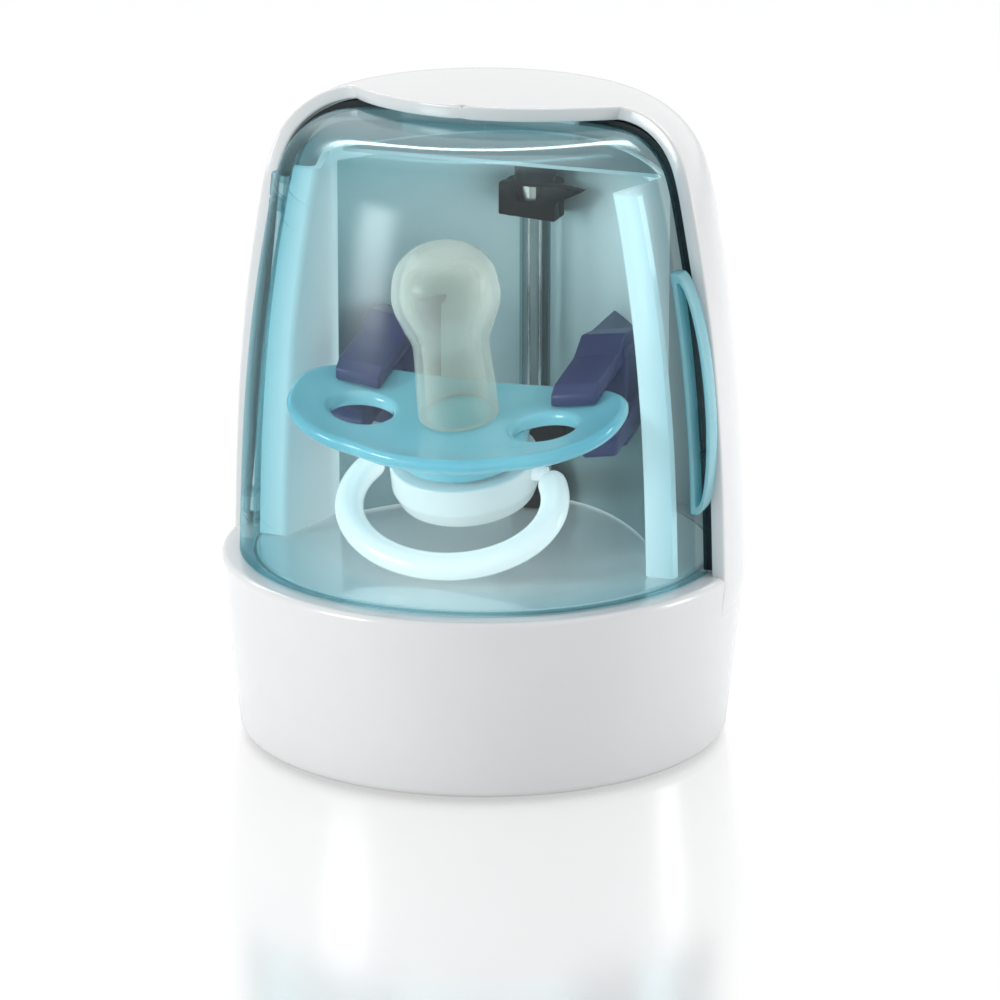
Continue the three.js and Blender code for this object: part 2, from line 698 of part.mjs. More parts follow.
const nippleShares = [[1, 0], [0.98, 0.16], [1.0, 0.36], [1.18, 0.5], [1.4, 0.64], [1.43, 0.76], [1.22, 0.9],
  [0.7, 0.985], [0, 1]];
const nippleSteps = 12;
function makeNipple() {
  const curve = new THREE.SplineCurve(nippleShares.map(([radius, height]) => new THREE.Vector2(
    radius * nippleNeckRadius, height * nippleHeight)));
  const outer = curve.getPoints(nippleSteps).map((point) => [Math.max(0, point.x), point.y]);
  const hollow = ([radius, height]) => radius > 2 * nippleWall && height < nippleHeight - nippleWall;
  const inner = outer.filter(hollow).map(([radius, height]) => [radius - nippleWall, height]);
  const low = shieldThickness / 2 + seatGap;
  const profile = [...inner.slice().reverse().map(([radius, height]) => [radius, height + low])];
  const top = nippleHeight - nippleWall + low;
  const closed = [[0, top], ...profile, ...outer.map(([radius, height]) => [radius, height + low])];
  return turned(closed, smallSegments);
}

// The plug holds the nipple from below, through the shield
function makeButton() {
  const top = -shieldThickness / 2 - seatGap;
  const round = buttonHeight / 5;
  const low = top - bossHeight - buttonHeight;
  const high = top - bossHeight - seatGap;
  const outline = [[0, low], [buttonRadius - 2 * round, low], [buttonRadius - round / 2, low + round]];
  outline.push([buttonRadius, low + 2 * round], [buttonRadius, high], [0, high]);
  const bores = [-1, 1].map((side) => ringPin(
    side, ringPinRadius + ringPinPlay, buttonRadius + cutOverrun, ringPinLength + ringPinPlay));
  return cut(solid(turned(outline, 2 * smallSegments)), ...bores);
}

function makeBoss() {
  const top = -shieldThickness / 2 - seatGap;
  const low = top - bossHeight;
  const flare = bossRadius + shieldRise / 4;
  return turned([[0, low], [bossRadius, low], [flare, top], [0, top]], 2 * smallSegments);
}

// Ring handle: a round tube bent to a half oval, hanging forwards from the sides of the button
const ringPivotDrop = -shieldThickness / 2 - bossHeight - buttonHeight / 2;
function makeRing() {
  const path = [];
  const start = -ringOpen;
  const sweep = Math.PI + 2 * ringOpen;
  const hang = ringHang - pacifierLean;
  for (let step = 0; step <= ringSteps; step += 1) {
    const angle = start + (sweep * step) / ringSteps;
    const along = ringHalfHeight * (Math.sin(ringOpen) + Math.sin(angle));
    const drop = ringPivotDrop - along * Math.sin(hang);
    path.push(new THREE.Vector3(ringHalfWidth * Math.cos(angle), -along * Math.cos(hang), drop));
  }
  const end = ringHalfWidth * Math.cos(ringOpen);
  const pins = [-1, 1].map((side) => ringPin(side, ringPinRadius, end, ringPinLength));
  return join(solid(tube(path, ringTube, ringSides)), ...pins);
}

// The pin or, with more radius, the bore that the ring turns in at one side of the button
function ringPin(side, radius, outer, depth) {
  const pin = new THREE.CylinderGeometry(radius, radius, outer - buttonRadius + depth, smallSegments);
  const middle = side * ((outer + buttonRadius - depth) / 2);
  return solid(pin, place(middle, 0, ringPivotDrop, 0, 0, Math.PI / 2));
}

// A round tube along a list of points, closed at both ends
function tube(path, radius, sides) {
  const section = new THREE.Shape();
  section.absarc(0, 0, radius, 0, 2 * Math.PI, false);
  const curve = new THREE.CatmullRomCurve3(path);
  return new THREE.ExtrudeGeometry(new THREE.Shape(section.getPoints(sides / 2).slice(0, -1)), {
    steps: path.length - 1, extrudePath: curve, bevelEnabled: false });
}

// Clips: forks on the side walls, open to the front, with an upper arm and a lower finger
const clipFrontY = -7;
const clipBackY = 3.4;
const clipWebY = 1.4;
const clipGrip = 10.5;
const clipTip = shieldHalfWidth - clipGrip;
const clipGap = 0.9;
const clipFingerGrip = 6.6;
const clipFingerTip = shieldHalfWidth - clipFingerGrip;
const clipFingerY = -4.5;
const clipArmRise = 9.5;
const clipTipThickness = 2.8;
const clipFingerDrop = 3;

function leaned(geometry) {
  const position = geometry.attributes.position;
  for (let index = 0; index < position.count; index += 1) {
    const lift = (position.getY(index) - pacifierY) * Math.tan(pacifierLean);
    position.setZ(index, position.getZ(index) + lift);
  }
  return solid(geometry);
}

function makeClip(side) {
  const slotLow = pacifierZ - shieldThickness / 2 - clipGap / 2;
  const slotHigh = pacifierZ + shieldRise + shieldThickness / 2 + clipGap / 2;
  const armTop = slotHigh + clipArmRise;
  const nose = 2 * clipTipThickness;
  const turnedSide = (outline) => (side > 0 ? outline : outline.map(([x, z]) => [-x, z]).reverse());
  const upper = leaned(depthwise(turnedSide([
    [clipTip, slotHigh], [rimRadius, slotHigh], [rimRadius, armTop],
    [clipTip + clipArmRise, armTop], [clipTip + nose, slotHigh + nose],
    [clipTip, slotHigh + clipTipThickness],
  ]), clipFrontY, clipBackY));
  const finger = leaned(depthwise(turnedSide([
    [clipFingerTip, slotLow - clipFingerDrop], [rimRadius, slotLow - clipFingerDrop], [rimRadius, slotLow],
    [clipFingerTip - clipFingerDrop / 2, slotLow],
  ]), clipFingerY, clipBackY));
  const web = leaned(depthwise(turnedSide([
    [clipFingerTip, slotLow - clipFingerDrop / 2], [rimRadius, slotLow - clipFingerDrop / 2],
    [rimRadius, slotHigh + clipTipThickness], [clipFingerTip, slotHigh + clipTipThickness],
  ]), clipWebY, clipBackY));
  return join(upper, finger, web).intersect(solid(clipRoom()));
}

function clipRoom() {
  const levels = [];
  for (let step = 0; step <= linerSteps; step += 1) {
    const height = floorTop + ((linerRidge - floorTop) * step) / linerSteps;
    const half = domeRadius(0, height) - linerInset - seatGap;
    levels.push({ height, outline: [[-half, -rimRadius], [half, -rimRadius], [half, linerFrontY],
      [troughHalfWidth, troughFrontY - seatGap], [-troughHalfWidth, troughFrontY - seatGap],
      [-half, linerFrontY]] });
  }
  return lofted(levels);
}

// Base: bottom plate with a cell bay, its cover, three small cells, contacts, feet and screws
const plateThickness = 2.4;
const plateGap = 0.3;
const cellRadius = 5.2;
const cellLength = 43.4;
const cellNub = 1;
const cellNubRadius = 1.9;
const cellGap = 0.4;
const cellCount = 3;
const bayWall = 1.2;
const bayPlay = 4;
const bayLength = cellLength + bayPlay;
const coverThickness = 1.6;
const coverMargin = 1.4;
const contactThickness = 0.6;
const footPadRadius = 3;
const footPadInset = 5.6;
const footPadRecess = 0.8;
const footAngle = THREE.MathUtils.degToRad(38);
const footPlace = footRadius - footPadInset;
const screwAngle = THREE.MathUtils.degToRad(14);
const screwPlace = footRadius - footPadInset;
const postRadius = 2.6;
const postWeb = 2;
const screwHeadRadius = 1.9;
const screwHeadHeight = 1.2;
const screwShank = 0.9;
const screwLength = 12;

const plateLow = groundGap;
const plateHigh = plateLow + plateThickness;
const bayHalfWidth = cellCount * (cellRadius + cellGap / 2) + cellGap;
const bayHalfLength = bayLength / 2;
const cellLow = plateLow + coverThickness + seatGap + slideGap;
const bayTop = cellLow + 2 * cellRadius + seatGap;
// Four places at the two sides of the cell bay, at an angle to the X axis
function sidePlaces(angle, radius) {
  return [angle, Math.PI - angle, Math.PI + angle, -angle].map((turn) => (
    { x: radius * Math.cos(turn), y: radius * Math.sin(turn), turn }));
}
const footPlaces = sidePlaces(footAngle, footPlace);
const screwPlaces = sidePlaces(screwAngle, screwPlace);

function makeBottomPlate() {
  const radius = footRadius - housingWall - plateGap;
  const plate = solid(disc(radius, plateLow, plateHigh));
  const tray = solid(block(-bayHalfWidth - bayWall, bayHalfWidth + bayWall, -bayHalfLength - bayWall,
    bayHalfLength + bayWall, plateHigh - seatGap, bayTop + bayWall));
  const bayRound = solid(disc(radius - bayWall, plateLow - cutOverrun, bayTop));
  const under = plateLow - cutOverrun;
  const bay = solid(block(-bayHalfWidth, bayHalfWidth, -bayHalfLength, bayHalfLength, under, bayTop))
    .intersect(bayRound);
  const [ledgeX, ledgeY] = [bayHalfWidth + coverMargin, bayHalfLength + coverMargin / 2];
  const ledgeTop = plateLow + coverThickness + seatGap;
  const ledge = solid(block(-ledgeX, ledgeX, -ledgeY, ledgeY, under, ledgeTop)).intersect(bayRound);
  const round = solid(disc(radius, plateLow - cutOverrun, caseHeight));
  const pads = footPlaces.map(({ x, y }) => solid(disc(footPadRadius + slideGap, plateLow - cutOverrun,
    plateLow + footPadRecess, smallSegments), place(x, y, 0)));
  const standoff = disc(standoffRadius, bayTop, boardLow - seatGap, smallSegments);
  const standoffs = [-1, 1].flatMap((side) => [-1, 1].map((end) => (
    solid(standoff, place(side * standoffX, end * standoffY, 0)))));
  const holes = screwPlaces.map(({ x, y }) => solid(turned([
    [0, plateLow - cutOverrun], [screwHeadRadius + slideGap, plateLow - cutOverrun],
    [screwHeadRadius + slideGap, plateLow + screwHeadHeight],
    [screwShank + slideGap, plateLow + screwHeadHeight],
    [screwShank + slideGap, plateHigh + cutOverrun], [0, plateHigh + cutOverrun],
  ], smallSegments), place(x, y, 0)));
  return cut(join(plate, tray).intersect(round).add(join(...standoffs)), bay, ledge, ...pads, ...holes);
}

function makeCover() {
  const width = bayHalfWidth + coverMargin - slideGap;
  const length = bayHalfLength + coverMargin / 2 - slideGap;
  const high = plateLow + coverThickness;
  const round = disc(footRadius - housingWall - plateGap - bayWall - slideGap, plateLow, high);
  return solid(block(-width, width, -length, length, plateLow, high)).intersect(solid(round));
}

function makeCell(index) {
  const x = (index - (cellCount - 1) / 2) * (2 * cellRadius + cellGap);
  const turn = index % 2 === 0 ? Math.PI / 2 : -Math.PI / 2;
  const half = cellLength / 2;
  const z = cellLow + cellRadius;
  const cell = turned([
    [0, -half], [cellRadius, -half], [cellRadius, half - cellNub], [cellNubRadius, half - cellNub],
    [cellNubRadius, half], [0, half],
  ], smallSegments);
  return cell.applyMatrix4(place(x, 0, z, turn));
}

function makeContact(side) {
  const low = plateLow + coverThickness + 2 * slideGap;
  const outer = side * (bayHalfLength - seatGap);
  const inner = outer - side * contactThickness;
  const plate = solid(block(-bayHalfWidth + seatGap, bayHalfWidth - seatGap, Math.min(inner, outer),
    Math.max(inner, outer), low, bayTop - seatGap));
  const reach = bayHalfLength - cellLength / 2 - 2 * seatGap - contactThickness;
  const z = cellLow + cellRadius;
  const domes = Array.from({ length: cellCount }, (_, index) => {
    const x = (index - (cellCount - 1) / 2) * (2 * cellRadius + cellGap);
    const cone = turned([[0, -contactThickness / 2], [3 * cellNubRadius / 2, -contactThickness / 2],
      [cellNubRadius, reach], [0, reach]], smallSegments / 2);
    return solid(cone, place(x, inner, z, side > 0 ? Math.PI / 2 : -Math.PI / 2));
  });
  return join(plate, ...domes);
}

function makeScrew({ x, y }) {
  const tip = screwShank / 2;
  return turned([
    [0, plateLow + seatGap / 2], [screwHeadRadius, plateLow + seatGap / 2],
    [screwHeadRadius, plateLow + screwHeadHeight - seatGap / 2], [screwShank, plateLow + screwHeadHeight],
    [screwShank, plateLow + screwLength - tip], [0, plateLow + screwLength],
  ], smallSegments / 2).translate(x, y, 0);
}

// Posts inside the base take the screws and hold the chamber floor up against its shelf
function makePosts() {
  const low = plateHigh + seatGap;
  const high = rimHeight - shelfThickness - floorThickness - 2 * seatGap;
  const middle = housingWall / 2;
  const envelope = solid(turned([
    [0, groundGap], [footRadius - middle, groundGap], [footRadius - middle, groundGap + footRound],
    [rimRadius - middle, rimHeight - footRound], [0, rimHeight - footRound],
  ]));
  return screwPlaces.map(({ x, y, turn }) => {
    const post = solid(disc(postRadius, low, high, smallSegments), place(x, y, 0));
    const arm = rimRadius - screwPlace;
    const web = solid(block(0, arm, -postWeb / 2, postWeb / 2, low, high), place(x, y, 0, 0, 0, turn));
    const boreTop = plateLow + screwLength + seatGap;
    const bore = solid(disc(screwShank + seatGap, low - cutOverrun, boreTop, smallSegments),
      place(x, y, 0));
    return join(post, web).intersect(envelope).subtract(bore);
  });
}

// Control board above the cell bay, with the lamp's step-up coil, a capacitor and a timer chip
const boardThickness = 1.2;
const boardEdgeRoom = 11.4;
const boardFlatRoom = 17;
const boardAboveBay = 2;
const boardRadius = rimRadius - boardEdgeRoom;
const boardFlat = rimRadius - boardFlatRoom;
const boardLow = bayTop + boardAboveBay;
const standoffRadius = 1.6;
const standoffX = boardRadius / 2;
const standoffY = boardFlat - 2 * standoffRadius;
const chipSize = 4.6;
const chipHeight = 1.4;
const coilLength = 9;
const coilWidth = 7;
const coilHeight = 2.8;
const capacitorRadius = 1.4;
const capacitorLength = 7;
const boardHigh = boardLow + boardThickness;

function makeBoard() {
  const round = solid(disc(boardRadius, boardLow, boardHigh));
  return round.intersect(solid(block(-rimRadius, rimRadius, -boardFlat, boardFlat, boardLow, boardHigh)));
}

function onBoard(geometry, x, y) {
  return geometry.translate(x, y, boardHigh + seatGap);
}

function makeCoil() {
  const core = solid(block(-coilLength / 2, coilLength / 2, -coilWidth / 2, coilWidth / 2, 0, coilHeight));
  const slots = [-1, 1].map((side) => solid(block(
    -coilLength / 4, coilLength / 4, coilWidth / 3, coilWidth, -cutOverrun, coilHeight + cutOverrun),
  place(0, 0, 0, 0, 0, (side * Math.PI) / 2 - Math.PI / 2)));
  return cut(core, ...slots).translate(-coilLength, -coilWidth, boardHigh + seatGap);
}

function makeCapacitor() {
  const can = turned([[0, 0], [capacitorRadius, 0], [capacitorRadius, capacitorLength], [0, capacitorLength]],
    smallSegments / 2);
  return onBoard(can.rotateX(Math.PI / 2).translate(0, 0, capacitorRadius), coilLength, 0);
}

function makeChip() {
  return onBoard(block(-chipSize / 2, chipSize / 2, -chipSize / 2, chipSize / 2, 0, chipHeight), 0, chipSize);
}

// Door switch: a plunger in a hole of the seal, pressed in by the closed door's rear edge
const switchHeight = 42;
const switchX = domeRadius((doorInset + sealWidth + housingWall + seatGap) / 2, switchHeight);
const plungerRadius = 0.8;
const plungerTravel = 1.2;
const switchFrontY = 2.6;
const switchDepth = 3.9;
const switchWidth = 3.6;
const switchTall = 6;
const switchOffset = 0.9;
const plungerFrontY = frontEdgeY + doorTuck + seatGap;
const plungerBackY = switchFrontY + plungerTravel + seatGap;

function alongDepth(radius, front, back) {
  const rod = new THREE.CylinderGeometry(radius, radius, back - front, smallSegments / 2);
  return solid(rod, place(switchX, (front + back) / 2, switchHeight));
}

function makeSwitchBody() {
  const left = switchX - switchWidth + switchOffset;
  const body = solid(block(left, left + switchWidth, switchFrontY, switchFrontY + switchDepth,
    switchHeight - switchTall / 2, switchHeight + switchTall / 2));
  const bore = alongDepth(plungerRadius + seatGap, switchFrontY - cutOverrun, plungerBackY + seatGap);
  return body.subtract(bore);
}

add('housing', join(makeHousing(), ...makePosts()), white);
add('door', makeDoor(), tint);
add('light_seal', makeLightSeal(), black);
add('chamber_floor', makeFloor(), paleLiner);
add('chamber_liner', makeLiner(), paleLiner);
add('reflector', makeReflector(), mirror);
add('lamp_holder_top', makeLampHolderTop(), black);
add('lamp_holder_bottom', makeLampHolderBottom(), black);
add('uv_lamp', makeLampTube(), glass);
add('lamp_cap_top', makeLampCap(lampHigh - lampCapLength), steel);
add('lamp_cap_bottom', makeLampCap(lampLow), steel);
add('clip_right', makeClip(1), navy);
add('clip_left', makeClip(-1), navy);
const pinHigh = hingeHighHeight + hingeLugLength;
add('hinge_pin', hingeRod(pinRadius, hingeLowHeight - hingeLugLength, pinHigh), steel);

add('pacifier_shield', makeShield(), shieldBlue, pacifier);
add('pacifier_nipple', makeNipple(), silicone, pacifier);
add('pacifier_boss', makeBoss(), shieldBlue, pacifier);
add('pacifier_button', makeButton(), buttonWhite, pacifier);
add('pacifier_ring', makeRing(), buttonWhite, pacifier);

add('bottom_plate', makeBottomPlate(), white);
add('battery_cover', makeCover(), white);
for (let index = 0; index < cellCount; index += 1) add(`battery_${index + 1}`, makeCell(index), cellWrap);
add('contact_front', makeContact(-1), steel);
add('contact_back', makeContact(1), steel);
add('control_board', makeBoard(), green);
add('step_up_coil', makeCoil(), black);
add('capacitor', makeCapacitor(), grey);
add('timer_chip', makeChip(), black);
add('switch_body', makeSwitchBody(), black);
add('switch_plunger', alongDepth(plungerRadius, plungerFrontY, plungerBackY), white);
footPlaces.forEach(({ x, y }, index) => {
  const pad = disc(footPadRadius, 0, plateLow + footPadRecess - seatGap, smallSegments);
  add(`foot_${index + 1}`, pad.translate(x, y, 0), rubber);
});
screwPlaces.forEach((spot, index) => add(`screw_${index + 1}`, makeScrew(spot), steel));

export default caseGroup;
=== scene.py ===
# %% [markdown]
# # A dome-shaped ultraviolet case for a pacifier
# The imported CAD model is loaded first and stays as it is. Every surface that the eye meets is then worked
# out again as a smooth sheet, in the same millimetres and at the same place, and takes over from the
# plain solid.

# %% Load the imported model
import math

import bmesh
import bpy
import numpy as np
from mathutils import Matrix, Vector, geometry


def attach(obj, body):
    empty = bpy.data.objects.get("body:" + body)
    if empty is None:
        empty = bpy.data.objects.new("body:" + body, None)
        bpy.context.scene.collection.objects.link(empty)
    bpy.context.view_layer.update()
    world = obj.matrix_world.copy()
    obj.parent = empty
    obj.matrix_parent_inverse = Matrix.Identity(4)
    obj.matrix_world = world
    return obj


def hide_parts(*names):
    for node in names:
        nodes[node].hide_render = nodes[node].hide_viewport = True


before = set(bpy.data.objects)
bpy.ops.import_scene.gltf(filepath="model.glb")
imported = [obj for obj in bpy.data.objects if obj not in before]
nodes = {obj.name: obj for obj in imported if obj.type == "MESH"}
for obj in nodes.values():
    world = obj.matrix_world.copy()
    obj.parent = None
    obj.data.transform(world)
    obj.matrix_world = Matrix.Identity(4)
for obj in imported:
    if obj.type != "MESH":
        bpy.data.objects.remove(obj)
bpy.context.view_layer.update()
MM = 0.001
print("nodes in the packed model:", len(nodes))

# %% [markdown]
# The case is photographed from a little above and from its right, through a long lens, so that upright
# lines stay nearly parallel. Two angles, a distance and the picture point of one point on the axis give
# the camera. The lens shift stands in for the trimming of the picture, so the camera can look level at
# the axis.

# %% Camera at the photograph's angle
VIEW_TURN = math.radians(21.0)
VIEW_RISE = math.radians(15.35)
VIEW_DISTANCE = 0.705
AIM = Vector((0.0, 0.0, 0.045))
FOCAL_SHARE = 5.334
SENSOR = 36.0
AIM_AT = (0.4835, 0.3985)
NEAREST = 0.01

towards = Vector((
    math.sin(VIEW_TURN) * math.cos(VIEW_RISE),
    -math.cos(VIEW_TURN) * math.cos(VIEW_RISE),
    math.sin(VIEW_RISE),
))
camera_data = bpy.data.cameras.new("studio_camera")
camera_data.sensor_width = SENSOR
camera_data.lens = FOCAL_SHARE * SENSOR
camera_data.shift_x = 0.5 - AIM_AT[0]
camera_data.shift_y = AIM_AT[1] - 0.5
camera_data.clip_start = NEAREST
camera = bpy.data.objects.new("studio_camera", camera_data)
camera.location = AIM + towards * VIEW_DISTANCE
camera.rotation_euler = (-towards).to_track_quat("-Z", "Y").to_euler()
bpy.context.scene.collection.objects.link(camera)
bpy.context.scene.camera = camera
bpy.context.scene.view_settings.view_transform = "Standard"
print("lens in mm:", round(camera_data.lens, 1))

# %% [markdown]
# A moulded or bent piece is a sheet that closes on itself. It could be modelled by hand from a box or a
# cylinder, but then its size would be hard to trust. So every new piece is a grid of points in
# millimetres: rows along one direction, columns along the other, and four-sided faces between neighbours.
# A row that shrinks to one point closes an end, because doubled points are merged and the faces there
# become triangles.

# %% From grids to meshes
MERGE_MM = 0.002
SMOOTH_ANGLE = 40.0


def grid_faces(rows, columns, loop=False, skip=None):
    """Joins point (i, j) to (i, j + 1), (i + 1, j + 1) and (i + 1, j). With loop, the last column meets
    the first. Faces whose four corners are all marked in skip are left out."""
    i, j = np.meshgrid(np.arange(rows - 1), np.arange(columns if loop else columns - 1), indexing="ij")
    k = (j + 1) % columns
    faces = np.stack([i * columns + j, i * columns + k, (i + 1) * columns + k, (i + 1) * columns + j], -1)
    faces = faces.reshape(-1, 4)
    if skip is not None:
        faces = faces[~skip.reshape(-1)[faces].all(axis=1)]
    return faces


def make_mesh(name, points, faces, smooth_angle=SMOOTH_ANGLE):
    """Puts points in millimetres and faces into a mesh, merges doubles, turns faces outwards and marks as
    sharp the edges that bend by more than smooth_angle degrees."""
    mesh = bpy.data.meshes.new(name)
    mesh.from_pydata((np.asarray(points, float).reshape(-1, 3) * MM).tolist(), [], [list(f) for f in faces])
    work = bmesh.new()
    work.from_mesh(mesh)
    bmesh.ops.remove_doubles(work, verts=work.verts, dist=MERGE_MM * MM)
    bmesh.ops.dissolve_degenerate(work, edges=work.edges, dist=MERGE_MM * MM)
    bmesh.ops.recalc_face_normals(work, faces=work.faces)
    work.to_mesh(mesh)
    work.free()
    mesh.validate()
    mesh.shade_smooth()
    mesh.set_sharp_from_angle(angle=math.radians(smooth_angle))
    return mesh


def mesh_points(mesh):
    """The points of a mesh in millimetres."""
    points = np.empty(len(mesh.vertices) * 3)
    mesh.vertices.foreach_get("co", points)
    return points.reshape(-1, 3) / MM


def move_points(mesh, points):
    mesh.vertices.foreach_set("co", (points * MM).reshape(-1))
    mesh.update()


def put(name, mesh, material, body, replaced=()):
    """Adds a piece to the scene: its finish, the body that carries it and the solids that it stands for."""
    piece = bpy.data.objects.new(name, mesh)
    bpy.context.scene.collection.objects.link(piece)
    mesh.materials.append(material)
    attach(piece, body)
    if replaced:
        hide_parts(*replaced)
    print(f"{name}: {len(mesh.polygons)} faces")
    return piece


def sweep(name, rows, smooth_angle=SMOOTH_ANGLE, ends=True):
    """A closed body from an array of rows of points. Ends shrink to the middle of the first and last row."""
    rows = np.asarray(rows, float)
    if ends:
        first = np.broadcast_to(rows[:1].mean(axis=1, keepdims=True), rows[:1].shape)
        last = np.broadcast_to(rows[-1:].mean(axis=1, keepdims=True), rows[-1:].shape)
        rows = np.concatenate([first, rows, last])
    return make_mesh(name, rows, grid_faces(*rows.shape[:2], True), smooth_angle)


# %% [markdown]
# The base, the lamp and the pacifier's nipple are round, with rounded corners. Blender's Screw and Bevel
# modifiers could make them. Here one helper rounds the corners of a flat outline by sums and a second one
# spins it, so that every radius is the one written. A fine spin matters, because gloss shows every facet.

# %% Rounded outlines and turned bodies
ROUND_STEPS = 7
SPIN_STEPS = 192


def rounded(corners, closed=False):
    """Corners are (a, b, radius). Each corner gives way to an arc that touches both of its sides: the arc
    starts radius * tan(half the turn) before the corner and is swept about the arc's centre."""
    corners = [(float(a), float(b), float(r)) for a, b, r in corners]
    outline = []
    count = len(corners)
    for index, (a, b, radius) in enumerate(corners):
        here = np.array([a, b])
        ends_here = not closed and index in (0, count - 1)
        if radius <= 0 or ends_here:
            outline.append(here)
            continue
        before = np.array(corners[index - 1][:2]) - here
        after = np.array(corners[(index + 1) % count][:2]) - here
        before, after = before / np.linalg.norm(before), after / np.linalg.norm(after)
        half = math.acos(float(np.clip(before @ after, -1, 1))) / 2
        reach = radius / math.tan(half)
        middle = (before + after) / np.linalg.norm(before + after)
        centre = here + middle * radius / math.sin(half)
        start, end = here + before * reach - centre, here + after * reach - centre
        turn = math.atan2(start[0] * end[1] - start[1] * end[0], float(start @ end))
        angles = np.linspace(0, turn, ROUND_STEPS)[:, None]
        side = np.array([-start[1], start[0]])
        outline.extend(centre + start * np.cos(angles) + side * np.sin(angles))
    return np.array(outline)


def spun(profile, steps=SPIN_STEPS, centre=(0.0, 0.0)):
    """Rows of a turned body: (radius, height) goes round the axis as (r cos t, r sin t, z)."""
    profile = np.asarray(profile, float)
    angle = np.linspace(0, 2 * math.pi, steps, endpoint=False)
    radius, height = profile[:, :1], profile[:, 1:]
    x = centre[0] + radius * np.cos(angle)
    y = centre[1] + radius * np.sin(angle)
    return np.stack([x, y, np.broadcast_to(height, x.shape)], -1)


def turned_mesh(name, profile, steps=SPIN_STEPS, centre=(0.0, 0.0), closed=False):
    """A turned body from an outline that starts and ends on the axis, or from a closed outline."""
    rows = spun(profile, steps, centre)
    if closed:
        rows = np.concatenate([rows, rows[:1]])
    return make_mesh(name, rows, grid_faces(*rows.shape[:2], True))

# %% [markdown]
# A finish is a small network of shader nodes. It could be drawn in the shader editor, but written as
# Python sums it can be read and changed line by line: a thin wrapper holds one output of a node, and
# plus, minus, times and the like add the Math node that does the sum.

# %% Shader sums
class Wire:
    """One output socket, with the arithmetic that the finishes below use."""

    def __init__(self, tree, socket):
        self.tree, self.socket = tree, socket

    def math(self, operation, *values):
        node = self.tree.nodes.new("ShaderNodeMath")
        node.operation = operation
        for index, value in enumerate(values):
            feed(self.tree, node.inputs[index], value)
        return Wire(self.tree, node.outputs[0])

    def __add__(self, other):
        return self.math("ADD", self, other)

    def __radd__(self, other):
        return self.math("ADD", other, self)

    def __sub__(self, other):
        return self.math("SUBTRACT", self, other)

    def __rsub__(self, other):
        return self.math("SUBTRACT", other, self)

    def __mul__(self, other):
        return self.math("MULTIPLY", self, other)

    def __rmul__(self, other):
        return self.math("MULTIPLY", other, self)

    def __pow__(self, other):
        return self.math("POWER", self, other)

    def fraction(self):
        return self.math("FRACT", self)

    def size(self):
        return self.math("ABSOLUTE", self)

    def larger(self, other):
        return self.math("MAXIMUM", self, other)

    def step(self, low, high):
        """0 below low, 1 above high, and a soft rise between them."""
        node = self.tree.nodes.new("ShaderNodeMapRange")
        node.interpolation_type = "SMOOTHSTEP"
        for name, value in {"Value": self, "From Min": low, "From Max": high}.items():
            feed(self.tree, node.inputs[name], value)
        return Wire(self.tree, node.outputs[0])


def feed(tree, socket, value):
    """Links a wire to a socket, or sets the socket's own value."""
    if isinstance(value, Wire):
        tree.links.new(value.socket, socket)
    elif isinstance(value, (tuple, list)) and len(value) == 3 and len(socket.default_value) == 4:
        socket.default_value = (*value, 1.0)
    else:
        socket.default_value = value


class Finish:
    """A material and the few kinds of node that its recipe needs."""

    def __init__(self, name):
        self.material = bpy.data.materials.new(name)
        self.material.use_nodes = True
        self.tree = self.material.node_tree
        self.tree.nodes.clear()

    def node(self, kind, output=0, settings=None, **sockets):
        made = self.tree.nodes.new("ShaderNode" + kind)
        for key, value in (settings or {}).items():
            setattr(made, key, value)
        for key, value in sockets.items():
            feed(self.tree, made.inputs[key.replace("_", " ")], value)
        return Wire(self.tree, made.outputs[output])

    def place(self):
        """Object coordinates in metres, the same for a piece from every side."""
        return self.node("TexCoord", "Object")

    def axes(self):
        split = self.node("SeparateXYZ", 0, None, Vector=self.place()).socket.node
        return [Wire(self.tree, split.outputs[index]) for index in range(3)]

    def noise(self, per_metre, detail=3.0, rough=0.5, stretch=None):
        where = self.place()
        if stretch:
            where = self.node("Mapping", 0, None, Vector=where, Scale=stretch)
        return self.node("TexNoise", "Fac", None, Vector=where, Scale=per_metre, Detail=detail,
                         Roughness=rough)

    def mix(self, share, first, second):
        made = self.tree.nodes.new("ShaderNodeMix")
        made.data_type = "RGBA"
        feed(self.tree, made.inputs[0], share)
        feed(self.tree, made.inputs[6], first)
        feed(self.tree, made.inputs[7], second)
        return Wire(self.tree, made.outputs[2])

    def bump(self, height, metres):
        return self.node("Bump", 0, None, Height=height, Distance=metres, Strength=1.0)

    def facing(self, blend):
        """0 where the surface faces the eye, near 1 at its outline."""
        return self.node("LayerWeight", "Facing", None, Blend=blend)

    def mirrored(self, face_on=0.02, outline=1.0):
        """The mirrored share: face_on where the surface faces the eye, the share outline more at its
        outline, and the fifth power of the tilt between them. It is the same seen from outside and from
        inside the sheet."""
        return (self.facing(0.5) ** 5.0) * outline + face_on

    def shader(self, **sockets):
        return self.node("BsdfPrincipled", 0, None, **sockets)

    def clear(self, color):
        return self.node("BsdfTransparent", 0, None, Color=color)

    def blend(self, share, first, second):
        made = self.tree.nodes.new("ShaderNodeMixShader")
        feed(self.tree, made.inputs[0], share)
        self.tree.links.new(first.socket, made.inputs[1])
        self.tree.links.new(second.socket, made.inputs[2])
        return Wire(self.tree, made.outputs[0])

    def done(self, surface):
        out = self.tree.nodes.new("ShaderNodeOutputMaterial")
        self.tree.links.new(surface.socket, out.inputs["Surface"])
        return self.material

